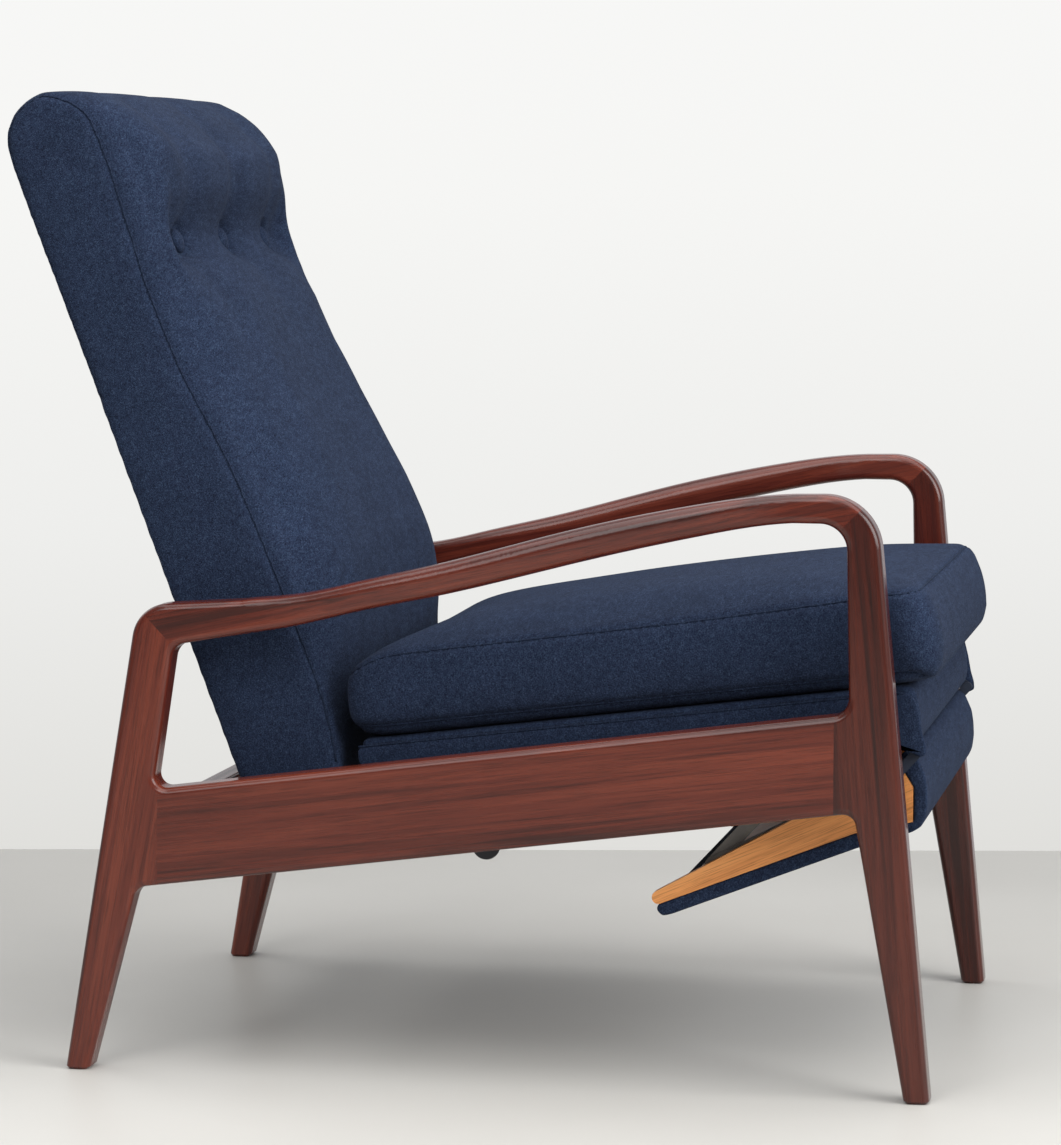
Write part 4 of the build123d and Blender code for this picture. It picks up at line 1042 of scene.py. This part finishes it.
# Sky that lights the chair, dark behind the camera and bright on the wall's side, and the wall as seen,
# darker towards the floor as painted shade
SKY_STRENGTH = 0.64
SKY_STOPS = ((0.05, (0.20, 0.205, 0.215)), (0.45, (0.46, 0.47, 0.485)), (0.90, (0.90, 0.92, 0.95)))
WALL_PAINTED_SHADE_STOPS = (
    (0.345, (0.745, 0.74, 0.715)), (0.42, (0.855, 0.855, 0.84)),
    (0.50, (0.92, 0.92, 0.905)), (0.56, (0.935, 0.935, 0.925)))

# Square lamps: name, place and point aimed at in metres, edge in metres, power in watts
LAMPS = (
    ("overhead", (-0.5, -0.3, 3.4), (0, 0, 0.4), 4.2, 132),
    ("key", (-1.6, -3.9, 2.3), (0, 0, 0.5), 3.0, 180),
    ("side_fill", (-3.9, 0.8, 2.8), (0, 0, 0.5), 2.4, 70),
    ("rear_fill", (1.6, 3.0, 2.6), (0, 0, 0.5), 2.0, 20),
)


def make_floor():
    """Pale floor that ends straight across behind the chair, as the photograph's floor does, and
    darkens a little towards that edge as painted shade."""
    forward = Vector((math.cos(CAMERA_YAW), math.sin(CAMERA_YAW), 0))
    side = Vector((-math.sin(CAMERA_YAW), math.cos(CAMERA_YAW), 0)) * FLOOR_HALF
    far = forward * FLOOR_FAR
    near = -forward * FLOOR_HALF
    floor = mesh_object("floor", [far - side, far + side, near + side, near - side], [(0, 1, 2, 3)])
    made, tree, shader = material_base("pale_floor", FLOOR_PLAIN, roughness=0.42)
    vector = place_node(tree)
    clouds = noise_node(tree, vector, frequency=1.6, detail=4, roughness=0.5)
    colour = ramp_node(tree, clouds, (0.3, FLOOR_DARK), (0.7, FLOOR_LIGHT))
    # Painted shade: the floor's colour darkens towards its far edge, by object depth
    depth = tree.nodes.new("ShaderNodeSeparateXYZ")
    tree.links.new(vector, depth.inputs["Vector"])
    away = math_node(tree, "ADD", math_node(tree, "MULTIPLY", depth.outputs["X"], 0.25), 0.5)
    far_painted_shade = ramp_node(tree, away, (0.40, WHITE), (0.75, grey(0.80)))
    colour = mix_node(tree, 1.0, colour, far_painted_shade, "MULTIPLY")
    tree.links.new(colour, shader.inputs["Base Color"])
    shader.inputs["Specular IOR Level"].default_value = 0.12
    floor.data.materials.append(made)


def make_camera():
    """Camera of the photograph: long lens, slightly above and in front of the chair's right side."""
    data = bpy.data.cameras.new("camera")
    data.sensor_width = SENSOR
    data.lens = CAMERA_FOCAL_PIXELS * SENSOR / IMAGE_HEIGHT
    data.clip_end = CAMERA_REACH
    camera = bpy.data.objects.new("camera", data)
    SCENE.collection.objects.link(camera)
    forward = Vector((
        math.cos(CAMERA_YAW) * math.cos(CAMERA_PITCH),
        math.sin(CAMERA_YAW) * math.cos(CAMERA_PITCH),
        -math.sin(CAMERA_PITCH)))
    camera.rotation_mode = "QUATERNION"
    camera.location = CAMERA_PLACE
    camera.rotation_quaternion = forward.to_track_quat("-Z", "Y") @ Quaternion((0, 0, 1), CAMERA_ROLL)
    SCENE.camera = camera


def make_world():
    """Off-white where the camera sees it, darker towards the floor as painted shade; for the light a soft
    sky, brighter on the wall's side.
    """
    world = bpy.data.worlds.new("studio")
    SCENE.world = world
    world.use_nodes = True
    tree = world.node_tree
    tree.nodes.clear()
    rays = tree.nodes.new("ShaderNodeLightPath")
    visible = math_node(
        tree, "MAXIMUM", rays.outputs["Is Camera Ray"], rays.outputs["Is Transmission Ray"])
    where = tree.nodes.new("ShaderNodeTexCoord")
    split = tree.nodes.new("ShaderNodeSeparateXYZ")
    tree.links.new(where.outputs["Generated"], split.inputs["Vector"])
    across = math_node(tree, "MULTIPLY", math_node(tree, "ADD", split.outputs["X"], 1.0), 0.5)
    height = math_node(tree, "ADD", split.outputs["Z"], 0.5)
    sky = tree.nodes.new("ShaderNodeBackground")
    sky.inputs["Strength"].default_value = SKY_STRENGTH
    tree.links.new(ramp_node(tree, across, *SKY_STOPS), sky.inputs["Color"])
    # The wall's ramp darkens it towards the floor: painted shade
    wall = tree.nodes.new("ShaderNodeBackground")
    tree.links.new(ramp_node(tree, height, *WALL_PAINTED_SHADE_STOPS), wall.inputs["Color"])
    mix = tree.nodes.new("ShaderNodeMixShader")
    tree.links.new(visible, mix.inputs["Fac"])
    tree.links.new(sky.outputs["Background"], mix.inputs[1])
    tree.links.new(wall.outputs["Background"], mix.inputs[2])
    out = tree.nodes.new("ShaderNodeOutputWorld")
    tree.links.new(mix.outputs["Shader"], out.inputs["Surface"])


def make_light(name, place, aim, edge, power):
    """Square area light aimed at a point."""
    data = bpy.data.lights.new(name, "AREA")
    data.shape = "SQUARE"
    data.size = edge
    data.energy = power
    light = bpy.data.objects.new(name, data)
    light.location = place
    light.rotation_mode = "QUATERNION"
    light.rotation_quaternion = (Vector(aim) - Vector(place)).to_track_quat("-Z", "Y")
    SCENE.collection.objects.link(light)


make_floor()
make_camera()
make_world()
for lamp in LAMPS:
    make_light(*lamp)
SCENE.view_settings.view_transform = "Standard"
